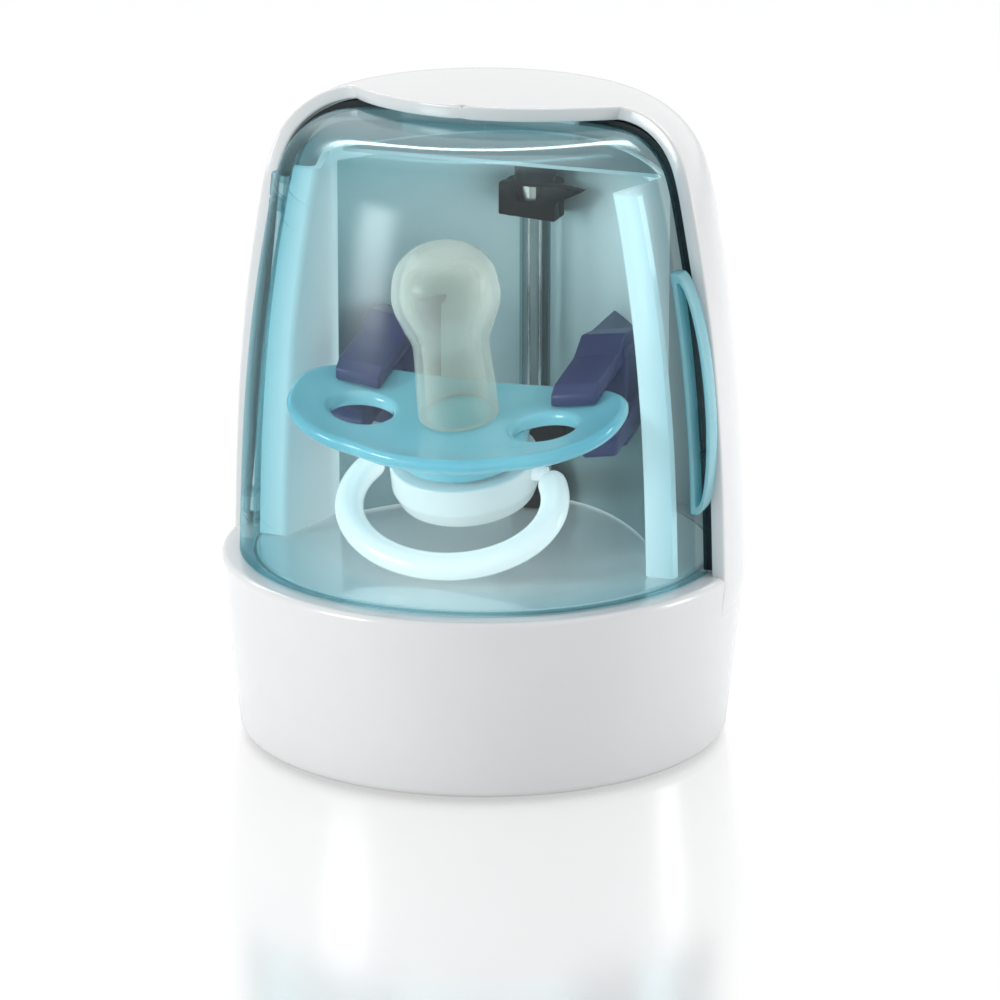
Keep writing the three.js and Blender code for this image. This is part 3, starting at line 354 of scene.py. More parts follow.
# %% [markdown]
# The case is glossy white moulded plastic. Such a surface is never one flat value: very low ripples from
# the mould bend its highlights, and handling dulls the gloss a little in places. A picture of plastic
# could be laid on it, but noise in the piece's own millimetres needs no unwrapping and has no seams. The
# white parts inside the chamber are given a faint glow of their own colour: painted light that brightens
# them, though they are no lamp.

# %% White moulded plastic
RIPPLE, SKIN_SHARE, TONE_SHARE, GLOSS_SPREAD = 0.00006, 0.1, 0.965, 0.06


def shaded(color, share=TONE_SHARE):
    """The same colour, a little darker."""
    return tuple(share * value for value in color)


def moulded(name, color, rough=0.22, coat=0.25, glow=0.0, shine=0.5):
    """Gloss plastic: wide ripples and a fine skin in the bump, and roughness that wanders a little. glow
    is a painted glow of the piece's own colour that brightens it though it is no lamp, and shine the
    strength of the gloss."""
    f = Finish(name)
    wide, fine = f.noise(55.0, 2.0), f.noise(2600.0, 2.0)
    return f.done(f.shader(
        Base_Color=f.mix(f.noise(38.0).step(0.3, 0.75), color, shaded(color)),
        Roughness=rough + (f.noise(140.0) - 0.5) * GLOSS_SPREAD,
        Normal=f.bump(wide + SKIN_SHARE * fine, RIPPLE),
        Coat_Weight=coat, Coat_Roughness=0.08, Emission_Color=color, Emission_Strength=glow,
        Specular_IOR_Level=shine))


white = moulded("housing_white", (0.645, 0.64, 0.64))
white_under = moulded("housing_white_under", (0.72, 0.715, 0.72), rough=0.35)
# The glow of button, ring, niche and floor is painted light: they glow though they are no lamp.
button_white = moulded("button_white", (0.93, 0.95, 0.94), rough=0.24, glow=0.04)
ring_white = moulded("ring_white", (0.95, 0.96, 0.95), rough=0.2, coat=0.6, glow=0.3)
pale = moulded("niche_pale", (0.93, 0.95, 0.95), rough=0.42, coat=0.05, glow=0.34)
pale_floor = moulded("floor_pale", (0.78, 0.82, 0.825), rough=0.2, coat=0.6, glow=0.06)
navy = moulded("clip_navy", (0.032, 0.034, 0.14), rough=0.42, coat=0.05)
# The light seal is black so that the joint shows dark: it stands in for the shade there, painted shade.
black = moulded("seal_black", (0.012, 0.014, 0.017), rough=0.5, coat=0.0, shine=0.3)
black_part = moulded("part_black", (0.006, 0.007, 0.009), rough=0.5, coat=0.0, shine=0.15)
grey_part = moulded("part_grey", (0.2, 0.215, 0.23), rough=0.3)

# %% [markdown]
# The door is coloured clear plastic. Light is filtered by the dye on its way through, and the way is
# longer where the sheet is seen edge-on, so the colour deepens towards every outline. A glass shader
# could bend the light as well, but a thin sheet hardly shifts what is behind it, and that shader costs a
# grainy picture. So light goes straight through with the filter colour, and a share of it is mirrored,
# small face-on and large at the outline. The crown of the door is polished, while its sides are faintly
# satin.

# %% Clear tinted plastic
CROWN_FROM, CROWN_FULL, CROWN_GLOSS, CROWN_DYE = 0.0805, 0.083, 0.9, 0.5
FACE_ON, SKIN_CLEAR, SKIN_DYED = 0.02, (0.96, 0.98, 0.98), (0.22, 0.74, 0.84)


def tinted(name, front, edge, rough=0.15, milk=0.0, milk_color=None, blend=0.35, gloss=CROWN_GLOSS,
           shoulder=0.0, side_satin=0.0):
    """A filter that passes the front colour face-on and the edge colour at grazing angles, under a
    mirror. milk is the share of milky plastic mixed into the filter. The mirror's share at the outline
    goes from gloss on the sides to CROWN_GLOSS on the crown, where shoulder is added to it, and its
    roughness from rough plus side_satin on the sides to rough on the crown."""
    f = Finish(name)
    crown = f.axes()[2].step(CROWN_FROM, CROWN_FULL)
    normal = f.bump(f.noise(45.0, 2.0), 0.00003)
    body = f.clear(f.mix(f.facing(blend), front, edge))
    if milk:
        body = f.blend(milk, body, f.shader(Base_Color=milk_color, Roughness=0.3, Normal=normal))
    skin = f.shader(
        Base_Color=f.mix(f.facing(0.5) * (1.0 - crown * CROWN_DYE), SKIN_CLEAR, SKIN_DYED), Metallic=1.0,
        Roughness=(1.0 - crown) * side_satin + rough + f.noise(160.0) * 0.03, Normal=normal)
    share = f.mirrored(FACE_ON, crown * (CROWN_GLOSS - gloss) + gloss) + crown * shoulder
    return f.done(f.blend(share, body, skin))


door_tint = tinted("door_tint", (0.95, 0.987, 0.99), (0.06, 0.42, 0.50), rough=0.07, blend=0.28, gloss=0.55,
                   shoulder=0.12, side_satin=0.12)
pull_tint = tinted("pull_tint", (0.62, 0.88, 0.91), (0.34, 0.70, 0.77), milk=0.45,
                   milk_color=(0.42, 0.76, 0.82))
lamp_glass = tinted("lamp_glass", (0.97, 0.98, 0.98), (0.62, 0.70, 0.71), rough=0.02)

# %% [markdown]
# The shield is blue plastic that lets a little light through its thin wings; its colour is lifted at the
# outline as a painted highlight along the rim. The nipple is silicone: half clear, faintly warm, clearest
# at its neck and cloudier in its bulb, with a soft skin whose faint glow is painted light. Light that
# scatters inside it could be traced as a volume, which is slow, so a clear filter and a skin are mixed
# instead. The lamp trough is sheet metal rolled to a dull mirror, and its drawing marks run upwards; its
# upper right is painted paler and glowing, painted light.

# %% Shield, silicone and metals
def shield_finish():
    f = Finish("shield_blue")
    deep, pale_blue = (0.11, 0.52, 0.67), (0.38, 0.76, 0.85)
    # Paler towards the outline: a painted highlight along the rim.
    color = f.mix(f.facing(0.3), deep, pale_blue)
    return f.done(f.shader(
        Base_Color=f.mix(f.noise(60.0).step(0.2, 0.9), color, pale_blue),
        Roughness=0.2 + f.noise(180.0) * 0.06,
        Normal=f.bump(f.noise(70.0, 2.0), 0.00005), Coat_Weight=1.0, Coat_Roughness=0.12,
        Subsurface_Weight=0.12, Subsurface_Radius=(0.002, 0.004, 0.006), Subsurface_Scale=1.0))


BULB_FROM, BULB_FULL = 0.055, 0.062


def silicone_finish():
    """A clear filter under a skin whose share grows with the tilt and, from neck to bulb, with the
    height. The skin's faint glow is painted light."""
    f = Finish("nipple_silicone")
    skin = f.shader(
        Base_Color=f.mix(f.noise(90.0).step(0.2, 0.8), (0.86, 0.86, 0.78), (0.92, 0.92, 0.86)),
        Roughness=0.14 + f.noise(200.0) * 0.08, Normal=f.bump(f.noise(120.0, 2.0), 0.00004),
        Coat_Weight=0.8, Coat_Roughness=0.05, Emission_Color=(0.9, 0.9, 0.84), Emission_Strength=0.12)
    through = f.clear((0.95, 0.95, 0.92))
    bulb = f.axes()[2].step(BULB_FROM, BULB_FULL)
    share = f.facing(0.5) * 0.5 + 0.03 + bulb * 0.09
    return f.done(f.blend(share, through, skin))


def drawing_marks(f, along):
    """Noise that is stretched upwards: the smaller along, the longer the marks."""
    return f.noise(900.0, 3.0, 0.6, (1.0, 1.0, along))


def steel_finish():
    f = Finish("plated_steel")
    color, marks = (0.62, 0.62, 0.61), drawing_marks(f, 0.2)
    return f.done(f.shader(
        Base_Color=f.mix(f.noise(40.0).step(0.3, 0.7), color, shaded(color, 0.93)), Metallic=1.0,
        Roughness=0.2 + marks * 0.08, Normal=f.bump(marks, 0.00003)))


def trough_finish():
    """Rolled sheet with upright drawing marks. Towards its upper right it is painted paler, less metallic
    and faintly glowing: painted light."""
    f = Finish("trough_mirror")
    x, _, z = f.axes()
    # Mask of the painted light: paler, less metallic and glowing towards the upper right.
    painted_light_upper_right = x.step(0.0, 0.016) * z.step(0.040, 0.062)
    lines = drawing_marks(f, 0.03)
    return f.done(f.shader(
        Base_Color=f.mix(painted_light_upper_right, (0.62, 0.77, 0.785), (0.9, 0.97, 0.97)), Metallic=painted_light_upper_right * -0.4 + 0.7,
        Roughness=lines * 0.05 + 0.38, Normal=f.bump(lines, 0.000002),
        Emission_Color=f.mix(painted_light_upper_right, (0.0, 0.0, 0.0), (0.12, 0.135, 0.135)), Emission_Strength=1.0))


shield_blue = shield_finish()
silicone = silicone_finish()
trough_mirror = trough_finish()
steel = steel_finish()

# %% [markdown]
# Under the base lie rubber feet, a green circuit board and wrapped cells. They are hardly ever seen, but
# who opens the base should find them finished too, so each has the one detail that tells what it is.

# %% Rubber, board and cells
def rubber_finish():
    f = Finish("foot_rubber")
    grain = f.noise(3200.0, 3.0)
    return f.done(f.shader(Base_Color=f.mix(grain, (0.42, 0.43, 0.44), (0.5, 0.51, 0.52)),
                           Roughness=0.7 + grain * 0.2, Normal=f.bump(grain, 0.00005)))


def board_finish():
    """Green lacquer over copper tracks: straight bands along x and y show as paler lines."""
    f = Finish("board_green")
    x, y, _ = f.axes()
    track = (x * 620.0).fraction().step(0.42, 0.5) * (y * 540.0).fraction().step(0.42, 0.5)
    return f.done(f.shader(Base_Color=f.mix(track, (0.012, 0.13, 0.055), (0.03, 0.21, 0.09)),
                           Roughness=0.3 + track * 0.15, Normal=f.bump(track, 0.00003)))


def wrap_finish():
    """Shrink wrap on a cell: blue, with a paler band near its far end."""
    f = Finish("cell_wrap")
    _, y, _ = f.axes()
    band = y.size().step(0.0165, 0.0168)
    return f.done(f.shader(Base_Color=f.mix(band, (0.05, 0.16, 0.36), (0.55, 0.57, 0.58)),
                           Roughness=0.25 + f.noise(300.0) * 0.1, Metallic=band * 0.7))


rubber, board_green, cell_wrap = rubber_finish(), board_finish(), wrap_finish()

# %% Materials for the solids that stay
STAY = {
    "bottom_plate": white_under, "battery_cover": white_under, "battery_1": cell_wrap, "battery_2": cell_wrap,
    "battery_3": cell_wrap, "contact_front": steel, "contact_back": steel, "control_board": board_green,
    "step_up_coil": black_part, "capacitor": grey_part, "timer_chip": black_part, "switch_body": black_part,
    "switch_plunger": white, "hinge_pin": steel, "lamp_cap_top": steel, "lamp_cap_bottom": steel,
    "foot_1": rubber, "foot_2": rubber, "foot_3": rubber, "foot_4": rubber,
    "screw_1": steel, "screw_2": steel, "screw_3": steel, "screw_4": steel,
}
for name, material in STAY.items():
    slots = nodes[name].data.materials
    slots.clear()
    slots.append(material)
print("solids kept as they are:", len(STAY))

# %% [markdown]
# Hood, door and light seal are all slices of one dome. Its outline is a smooth curve through a few
# measured points, given as shares of the rim radius and of the height. Moving each point along the
# curve's normal gives the same outline further in, which is how the door sits inside the hood with an
# even gap. A curve object could be drawn and spun instead, but every piece that touches the dome would
# then have to be fitted by eye.

# %% The dome's outline
HEIGHT, RIM_RADIUS, RIM_HEIGHT = 86.3, 35.0, 24.9
DOME_SHARES = np.array([
    [0.999, 0.285], [0.99, 0.4], [0.974, 0.52], [0.943, 0.65], [0.897, 0.775], [0.84, 0.886],
    [0.765, 0.945], [0.64, 0.982], [0.48, 0.995], [0.22, 0.999], [0.0, 1.0],
])
CURVE_STEPS = 60
EVEN_STEP = 0.1
SOFTEN_MM = 4.0


def smooth_curve(points, per_step):
    """A smooth curve through the points: between two of them, a cubic whose slope at each is half the
    way between its neighbours."""
    padded = np.concatenate([points[:1], points, points[-1:]])
    t = np.linspace(0, 1, per_step, endpoint=False)[None, :, None]
    before, here, after, beyond = (padded[i:len(padded) - 3 + i, None] for i in range(4))
    slope, next_slope = (after - before) / 2, (beyond - here) / 2
    curve = ((2 * here - 2 * after + slope + next_slope) * t ** 3
             + (3 * after - 3 * here - 2 * slope - next_slope) * t ** 2 + slope * t + here)
    return np.concatenate([curve.reshape(-1, 2), points[-1:]])


def way_along(points):
    """The length of a line of points up to each of them."""
    return np.concatenate([[0], np.cumsum(np.linalg.norm(np.diff(points, axis=0), axis=1))])


def placed_along(points, wanted):
    """The places on a flat line of points that are the wanted lengths from its start."""
    return np.stack([np.interp(wanted, way_along(points), points[:, k]) for k in (0, 1)], 1)


def directions(points):
    """The direction of a line of points at each of them, of length 1."""
    slope = np.gradient(points, axis=0)
    return slope / np.linalg.norm(slope, axis=1, keepdims=True)


def dome_curve():
    """The smooth curve is mirrored over the top, carried straight down to the table, spaced evenly and
    averaged over a few millimetres, so that highlights run over it without a kink."""
    curve = smooth_curve(DOME_SHARES * (RIM_RADIUS, HEIGHT), CURVE_STEPS)
    curve = np.concatenate([[[curve[0, 0], 0.0]], curve, (curve[:-1] * (-1, 1))[::-1]])
    curve = placed_along(curve, np.arange(0, way_along(curve)[-1], EVEN_STEP))
    width = int(SOFTEN_MM / EVEN_STEP)
    window = np.hanning(width + 2)[1:-1]
    window /= window.sum()
    padded = np.pad(curve, ((width, width), (0, 0)), mode="reflect", reflect_type="odd")
    soft = np.stack([np.convolve(column, window, "same")[width:-width] for column in padded.T], 1)
    return soft[soft[:, 0] >= 0]


DOME = dome_curve()
INWARD = directions(DOME)[:, ::-1] * (-1, 1)
print("dome outline:", len(DOME), "points, top at", DOME[-1].round(2))


def dome_at(way, depth):
    """Radius and height at a place counted in points from the foot, moved inwards by depth."""
    index = np.arange(len(DOME))
    radius = np.interp(way, index, DOME[:, 0] + INWARD[:, 0] * depth)
    height = np.interp(way, index, DOME[:, 1] + INWARD[:, 1] * depth)
    return np.maximum(radius, 0.0), height


def way_of_height(height):
    """The place on the outline where it has this height, below the crown."""
    return np.interp(height, DOME[:, 1], np.arange(len(DOME)))


def way_of_radius(radius):
    """The place on the crown where the outline has this radius."""
    return np.interp(-radius, -DOME[:, 0], np.arange(len(DOME)))


def radius_at(height, depth=0.0):
    """The dome's radius at a height, with the outline moved in by depth."""
    return dome_at(way_of_height(height), depth)[0]


# %% [markdown]
# Seen from the side, the hood ends in an upright line just in front of the axis that bends back near the
# top. Over the door, the crown carries on forwards as a shallow lip whose edge is an arc in plan. Cutting
# a full dome with booleans would leave long thin faces along the cut, and gloss shows each of them. So a
# slice is made row by row: at each height, the allowed y decides how far round the row may go. Its two
# free edges are rounded by a few extra columns that roll from the outer face to the inner one.

# %% A slice of the dome with rounded edges
EDGE_Y, EDGE_BEND, EDGE_SETBACK = -3.0, 68.0, 4.5
ROLL_STEPS, SLICE_COLUMNS = 6, 170


def edge_y(height, straight=EDGE_Y):
    """y of the hood's front edge: straight, then bending back with the cube of the share of the way up."""
    share = np.clip((height - EDGE_BEND) / (HEIGHT - EDGE_BEND), 0, 1)
    return straight + (EDGE_Y + EDGE_SETBACK - straight) * share ** 3


def dome_slice(name, way, depth, wall, left, right, forward, roll):
    """The part of the dome's sheet behind (or, with forward, in front of) the y limits left and right,
    which give one value for each row. Stations go round the sheet: outer face, right edge, inner face,
    left edge. A row with no place left for its edges closes into a full ring, and the walls inside it are
    left out."""
    sign = -1.0 if forward else 1.0
    arc = np.linspace(0, math.pi / 2, ROLL_STEPS)
    back = roll * (1 - np.sin(arc))
    deep = roll * (1 - np.cos(arc))
    edge_back = np.concatenate([back, back[::-1]])
    edge_deep = np.concatenate([deep, wall - deep[::-1]])
    share = np.linspace(-1, 1, SLICE_COLUMNS)

    def side_angle(limit, setback, at_depth):
        """How far round each row may go, and whether it has no place left for its edge."""
        radius = dome_at(way, depth + at_depth)[0]
        cosine = (sign * limit + setback) / np.maximum(radius, 1e-6)
        shut = cosine <= -1
        return np.arccos(np.clip(cosine, -1, 1)), shut

    def column(angle, at_depth, shut):
        radius, height = dome_at(way, depth + at_depth)
        point = np.stack([radius * np.sin(angle), sign * radius * np.cos(angle), height], -1)
        return point, shut

    stations = []
    for at_depth, order in ((0.0, share), (wall, share[::-1])):
        left_angle, left_shut = side_angle(left, roll, at_depth)
        right_angle, right_shut = side_angle(right, roll, at_depth)
        for value in order:
            angle = value * np.where(value < 0, left_angle, right_angle)
            shut = (left_shut if value < 0 else right_shut) & (abs(value) == 1)
            stations.append(column(angle, at_depth, shut))
        limit, turn = (right, 1.0) if at_depth == 0.0 else (left, -1.0)
        rolls = list(zip(edge_back, edge_deep))[1:-1]
        for setback, roll_depth in (rolls if at_depth == 0.0 else rolls[::-1]):
            angle, shut = side_angle(limit, setback, roll_depth)
            stations.append(column(turn * angle, roll_depth, shut))
    rows = np.stack([points for points, _ in stations], 1)
    skip = np.stack([shut for _, shut in stations], 1)
    faces = grid_faces(*rows.shape[:2], True, skip)
    foot = np.arange(rows.shape[1])
    inner_from, inner_to = SLICE_COLUMNS + len(rolls), 2 * SLICE_COLUMNS + len(rolls)
    outer, inner = foot[:SLICE_COLUMNS], foot[inner_from:inner_to][::-1]
    cap = np.stack([outer[1:], outer[:-1], inner[:-1], inner[1:]], -1)
    right_cap = [*foot[SLICE_COLUMNS - 1:inner_from + 1]][::-1]
    left_cap = [*foot[inner_to - 1:], 0][::-1]
    return make_mesh(name, rows, [*faces.tolist(), *cap.tolist(), right_cap, left_cap])


# %% Hood with its lip over the door
WALL = 1.8
LIP_RADIUS, LIP_FRONT, LIP_HALF_WIDTH = 23.2, -8.4, 18.5
HOOD_FOOT, HOOD_LAP, HOOD_PROUD, HOOD_ROLL = 17.6, 21.0, 0.09, 0.32
HOOD_ROWS, LIP_ROWS, CROWN_ROWS = 76, 30, 12
BASE_FOOT, BASE_FOOT_RADIUS, BASE_RIM_RADIUS = 0.5, 32.5, 35.03


def hood_rows():
    """Even rows up to the lip's corner, then rows that cut the lip's arc at even steps across, then
    rings."""
    corner_y = LIP_FRONT + LIP_RADIUS - math.sqrt(LIP_RADIUS ** 2 - LIP_HALF_WIDTH ** 2)
    corner = way_of_radius(math.hypot(LIP_HALF_WIDTH, corner_y))
    side = np.linspace(way_of_height(HOOD_FOOT), corner, HOOD_ROWS)
    across = LIP_HALF_WIDTH * np.linspace(1, 0, LIP_ROWS)[1:]
    ahead = LIP_FRONT + LIP_RADIUS - np.sqrt(LIP_RADIUS ** 2 - across ** 2)
    lip = way_of_radius(np.hypot(across, ahead))
    crown = np.linspace(lip[-1], len(DOME) - 1, CROWN_ROWS)[1:]
    return np.concatenate([side, lip, crown])


def lip_limit(way):
    """y of the lip's arc on the ring of this radius: where that ring meets the arc's circle."""
    radius = np.maximum(dome_at(way, 0.0)[0], 1e-6)
    centre = LIP_FRONT + LIP_RADIUS
    return (radius ** 2 + centre ** 2 - LIP_RADIUS ** 2) / (2 * centre)


def lapped(mesh):
    """Below the rim the hood laps over the base: its outer face follows the base's lean, a hair proud of
    it, and sinks into it at the foot, so that only the front edge shows there as a crease."""
    points = mesh_points(mesh)
    height = points[:, 2]
    up_the_base = (height - BASE_FOOT) / (RIM_HEIGHT - BASE_FOOT)
    base_radius = BASE_FOOT_RADIUS + (BASE_RIM_RADIUS - BASE_FOOT_RADIUS) * up_the_base
    proud = HOOD_PROUD * np.clip(2 * (height - HOOD_FOOT) / (HOOD_LAP - HOOD_FOOT) - 1, -1, 1)
    wanted = (base_radius + proud) / radius_at(height)
    share = np.clip((RIM_HEIGHT - height) / (RIM_HEIGHT - HOOD_LAP), 0, 1)
    points[:, :2] *= (1 + (wanted - 1) * share)[:, None]
    move_points(mesh, points)
    return mesh


way = hood_rows()
limit = np.minimum(edge_y(dome_at(way, 0.0)[1]), lip_limit(way))
limit = np.where(way < way_of_height(EDGE_BEND), EDGE_Y, limit)
put("hood", lapped(dome_slice("hood", way, 0.0, WALL, limit, limit, False, HOOD_ROLL)), white, "case")

# %% [markdown]
# The base ring is turned: a slightly leaning outer wall, a soft foot, and a rounded rim with a flat ledge
# that the door's foot almost touches. A cylinder with a few loop cuts would do as well, but the outline
# holds all of its heights and radii in one list.

# %% Base ring
LEDGE_RADIUS, SHELF_HEIGHT, BASE_STEPS = 30.6, 23.4, 256
base_outline = rounded([
    (30.8, BASE_FOOT, 0.0), (BASE_FOOT_RADIUS, BASE_FOOT, 1.2), (BASE_RIM_RADIUS, RIM_HEIGHT, 0.9),
    (LEDGE_RADIUS, RIM_HEIGHT, 0.25), (LEDGE_RADIUS, SHELF_HEIGHT, 0.25), (33.0, SHELF_HEIGHT, 0.5),
    (30.8, 2.0, 0.3)], closed=True)
put("base_ring", turned_mesh("base_ring", base_outline, BASE_STEPS, closed=True), white, "case",
    ["housing"])

# %% [markdown]
# The door is the front of the same dome, two and a half millimetres further in, with a notch at each end
# of its hinge. A single face with Solidify and Bevel modifiers would be quicker. Here the rolled edges
# are part of the grid, so their radius stays the same all round. The sheet is 1.8 mm thick with both
# faces modelled, so the eye sees two reflections and a deeper colour along the edges, as on the real
# clear plastic.

# %% Door
DOOR_DEPTH, DOOR_WALL, DOOR_TUCK, DOOR_FOOT = 2.5, 1.8, 1.0, 25.25
HINGE_EDGE_Y, HINGE_Y, KNUCKLE = -4.0, -5.0, 1.7
HINGE_LOW, HINGE_HIGH, LUG = 31.0, 71.0, 3.2
SEAT_GAP, DOOR_ROLL, DOOR_ROWS = 0.3, 0.5, 150
NOTCH_Y = HINGE_Y - KNUCKLE - 2.6
NOTCH_TOP = HINGE_HIGH + LUG + 3 * SEAT_GAP
STEP_MM = 0.06


def door_rows():
    """Even rows, with a close pair of rows at each end of the two notches in the hinge side."""
    even = np.linspace(way_of_height(DOOR_FOOT), len(DOME) - 1, DOOR_ROWS)
    marks = way_of_height(np.array([HINGE_LOW, HINGE_HIGH, NOTCH_TOP]))
    pairs = np.concatenate([marks - STEP_MM / EVEN_STEP, marks + STEP_MM / EVEN_STEP])
    return np.unique(np.concatenate([even, pairs]))


way = door_rows()
height = dome_at(way, DOOR_DEPTH)[1]
right = edge_y(height) + DOOR_TUCK
left = edge_y(height, HINGE_EDGE_Y)
outer_height = dome_at(way, 0.0)[1]
notch = (outer_height < HINGE_LOW) | ((outer_height > HINGE_HIGH) & (outer_height < NOTCH_TOP))
left = np.where(notch, NOTCH_Y, left)
put("door_shell", dome_slice("door_shell", way, DOOR_DEPTH, DOOR_WALL, left, right, True, DOOR_ROLL),
    door_tint, "door", ["door"])

# %% [markdown]
# A strip closes the joint between hood and door from behind, so that no ultraviolet light gets out. On
# both sides it is the dark line that the photograph shows along the hood's front edge: it is made black
# there to stand in for the shade in that joint, painted shade. Over the crown no dark line shows, so it is
# pale there. Four long edges that follow the dome are enough for it: a curve with a bevel object would
# do the same, but would leave the dome a little between its points.

# %% Light seal
SEAL_INNER, SEAL_OUTER, SEAL_DEEP = 3.4, 2.1, 2.0
SEAL_FOOT, SEAL_ROWS, SEAL_ANGLE = 25.4, 120, 50.0
CROWN_START = 84.0


def strip_along_dome(way, near, far, front, back):
    """Two upright strips that follow the dome on both sides and meet at the crown: the section is a block
    between two depths and two y planes."""
    left_side, right_side = [], []
    for depth, plane in ((near, front), (near, back), (far, back), (far, front)):
        radius, height = dome_at(way, depth)
        x = np.sqrt(np.maximum(radius ** 2 - plane ** 2, 0.0))
        right_side.append(np.stack([x, plane, height], -1))
        left_side.append(np.stack([-x, plane, height], -1))
    return np.concatenate([np.stack(right_side, 1), np.stack(left_side, 1)[::-1]])


way = np.linspace(way_of_height(SEAL_FOOT), len(DOME) - 1, SEAL_ROWS)
height = dome_at(way, SEAL_OUTER)[1]
front = edge_y(height) + DOOR_TUCK + SEAT_GAP
open_rows = dome_at(way, SEAL_INNER)[0] > np.abs(front) + SEAL_DEEP
way, front = way[open_rows], front[open_rows]
low = dome_at(way, SEAL_OUTER)[1] < CROWN_START
sides = strip_along_dome(way[low], SEAL_OUTER, SEAL_INNER, front[low], front[low] + SEAL_DEEP)
half = low.sum()
for word, rows in (("right", sides[:half]), ("left", sides[half:])):
    put(f"seal_strip_{word}", sweep(f"seal_strip_{word}", rows, SEAL_ANGLE), black, "case",
        ["light_seal"])
over = strip_along_dome(way[~low], SEAL_OUTER, SEAL_INNER, front[~low], front[~low] + SEAL_DEEP)
put("seal_crown", sweep("seal_crown", over, SEAL_ANGLE), pale, "case", ["light_seal"])

# %% [markdown]
# The hinge is a steel pin in a knuckle that runs down the door's left edge, between two short lugs of the
# case. The knuckle leans with the dome, so its two ends are different distances from the axis of the
# case. A cylinder could be turned by hand until it fits, but an object here has to stay unturned at the
# origin. So the circles are worked out square to the leaning line. All three are clear, because the
# photograph shows no solid hinge there.

# %% Hinge knuckle and lugs
ROD_ROUND = 0.3


def hinge_point(height):
    """The hinge line joins two points that lie one knuckle radius inside the door's outer face."""
    low = np.array([-(radius_at(HINGE_LOW, DOOR_DEPTH) - KNUCKLE), HINGE_Y, HINGE_LOW])
    high = np.array([-(radius_at(HINGE_HIGH, DOOR_DEPTH) - KNUCKLE), HINGE_Y, HINGE_HIGH])
    return low + (high - low) * (height - HINGE_LOW) / (HINGE_HIGH - HINGE_LOW)


def rod(low, high, outline, steps=40):
    """A turned outline of (radius, way along) laid along the line between two points: the point at the
    way, plus the radius times the cosine and the sine of the turn along two sides that stand square to
    the line."""
    low, high = np.asarray(low, float), np.asarray(high, float)
    along = (high - low) / np.linalg.norm(high - low)
    side = np.cross(along, (0.0, 1.0, 0.0))
    side /= np.linalg.norm(side)
    other = np.cross(along, side)
    angle = np.linspace(0, 2 * math.pi, steps, endpoint=False)[None, :, None]
    outline = np.asarray(outline, float)
    radius, way = outline[:, 0][:, None, None], outline[:, 1][:, None, None]
    return low + along * way + (side * np.cos(angle) + other * np.sin(angle)) * radius


def rod_piece(name, low, high, radius, round_, material, body):
    length = float(np.linalg.norm(np.subtract(high, low)))
    outline = rounded([(0, 0, 0), (radius, 0, round_), (radius, length, round_), (0, length, 0)])
    put(name, sweep(name, rod(low, high, outline), ends=False), material, body)


for name, low, high, body in (
        ("door_knuckle", HINGE_LOW, HINGE_HIGH, "door"),
        ("hinge_lug_low", HINGE_LOW - SEAT_GAP - LUG, HINGE_LOW - SEAT_GAP, "case"),
        ("hinge_lug_high", HINGE_HIGH + SEAT_GAP, HINGE_HIGH + SEAT_GAP + LUG, "case")):
    rod_piece(name, hinge_point(low), hinge_point(high), KNUCKLE, ROD_ROUND, door_tint, body)

# %% [markdown]
# The finger pull is a flat half-moon that stands out of the door's right edge: a raised rim runs round
# it, and the hollow inside catches the fingertip. It could be a plate with an inset face pushed in. Here
# its outline is the door's own outline plus a half ellipse, so that it grows out of the door without a
# step, and the rim is a band that goes once round its section: out, back, in and forwards, with a rolled
# edge at each corner.

# %% Finger pull
PULL_LOW, PULL_HIGH, PULL_REACH, PULL_DEEP, PULL_Y = 34.2, 66.0, 2.4, 3.2, -3.6
PULL_RIM, PULL_ROLL, PULL_PLATE, PULL_SET_BACK = 0.62, 0.3, 1.1, 0.1
PULL_END_TAPER, PULL_ROOT, RIM_ROOT_SHARE, PLATE_SHARE = 1.9, 0.9, 1.1, 0.7
PULL_POINTS, PULL_ROLL_STEPS = 60, 4


def pull_outline(inset, root_inset):
    """Closed outline in x and z: out along a half ellipse, back along the door's face. The ends come in
    by more than the reach does, because the half-moon is slim there."""
    middle, half = (PULL_LOW + PULL_HIGH) / 2, (PULL_HIGH - PULL_LOW) / 2 - PULL_END_TAPER * inset
    share = np.sin(np.linspace(-math.pi / 2, math.pi / 2, PULL_POINTS))
    height = middle + half * share
    skin = radius_at(height, DOOR_DEPTH)
    outer = np.stack([skin + (PULL_REACH - inset) * np.sqrt(1 - share ** 2), height], 1)
    inner = np.stack([skin - PULL_ROOT + root_inset, height], 1)[::-1]
    return np.concatenate([outer, inner])


def upright(outline, y):
    """Points of (x, z) stood up at this y."""
    return np.stack([outline[:, 0], np.full(len(outline), y), outline[:, 1]], 1)


def ring_wall(name, outer, inner, front, back, roll):
    """A rim between two outlines of the same count, from a front to a back y, with rolled edges. Each
    corner is a quarter turn: roll * (1 - sin t) from the edge and roll * (1 - cos t) deep."""
    arc = np.linspace(0, math.pi / 2, PULL_ROLL_STEPS)
    turn = [(roll * (1 - math.sin(a)), roll * (1 - math.cos(a))) for a in arc]
    across = (inner - outer) / np.maximum(np.linalg.norm(outer - inner, axis=1, keepdims=True), 1e-6)
    rows = [upright(outer + across * from_edge, front + deep) for from_edge, deep in turn]
    rows += [upright(outer + across * from_edge, back - deep) for from_edge, deep in turn[::-1]]
    rows += [upright(inner - across * from_edge, back - deep) for from_edge, deep in turn]
    rows += [upright(inner - across * from_edge, front + deep) for from_edge, deep in turn[::-1]]
    return sweep(name, rows + rows[:1], ends=False)


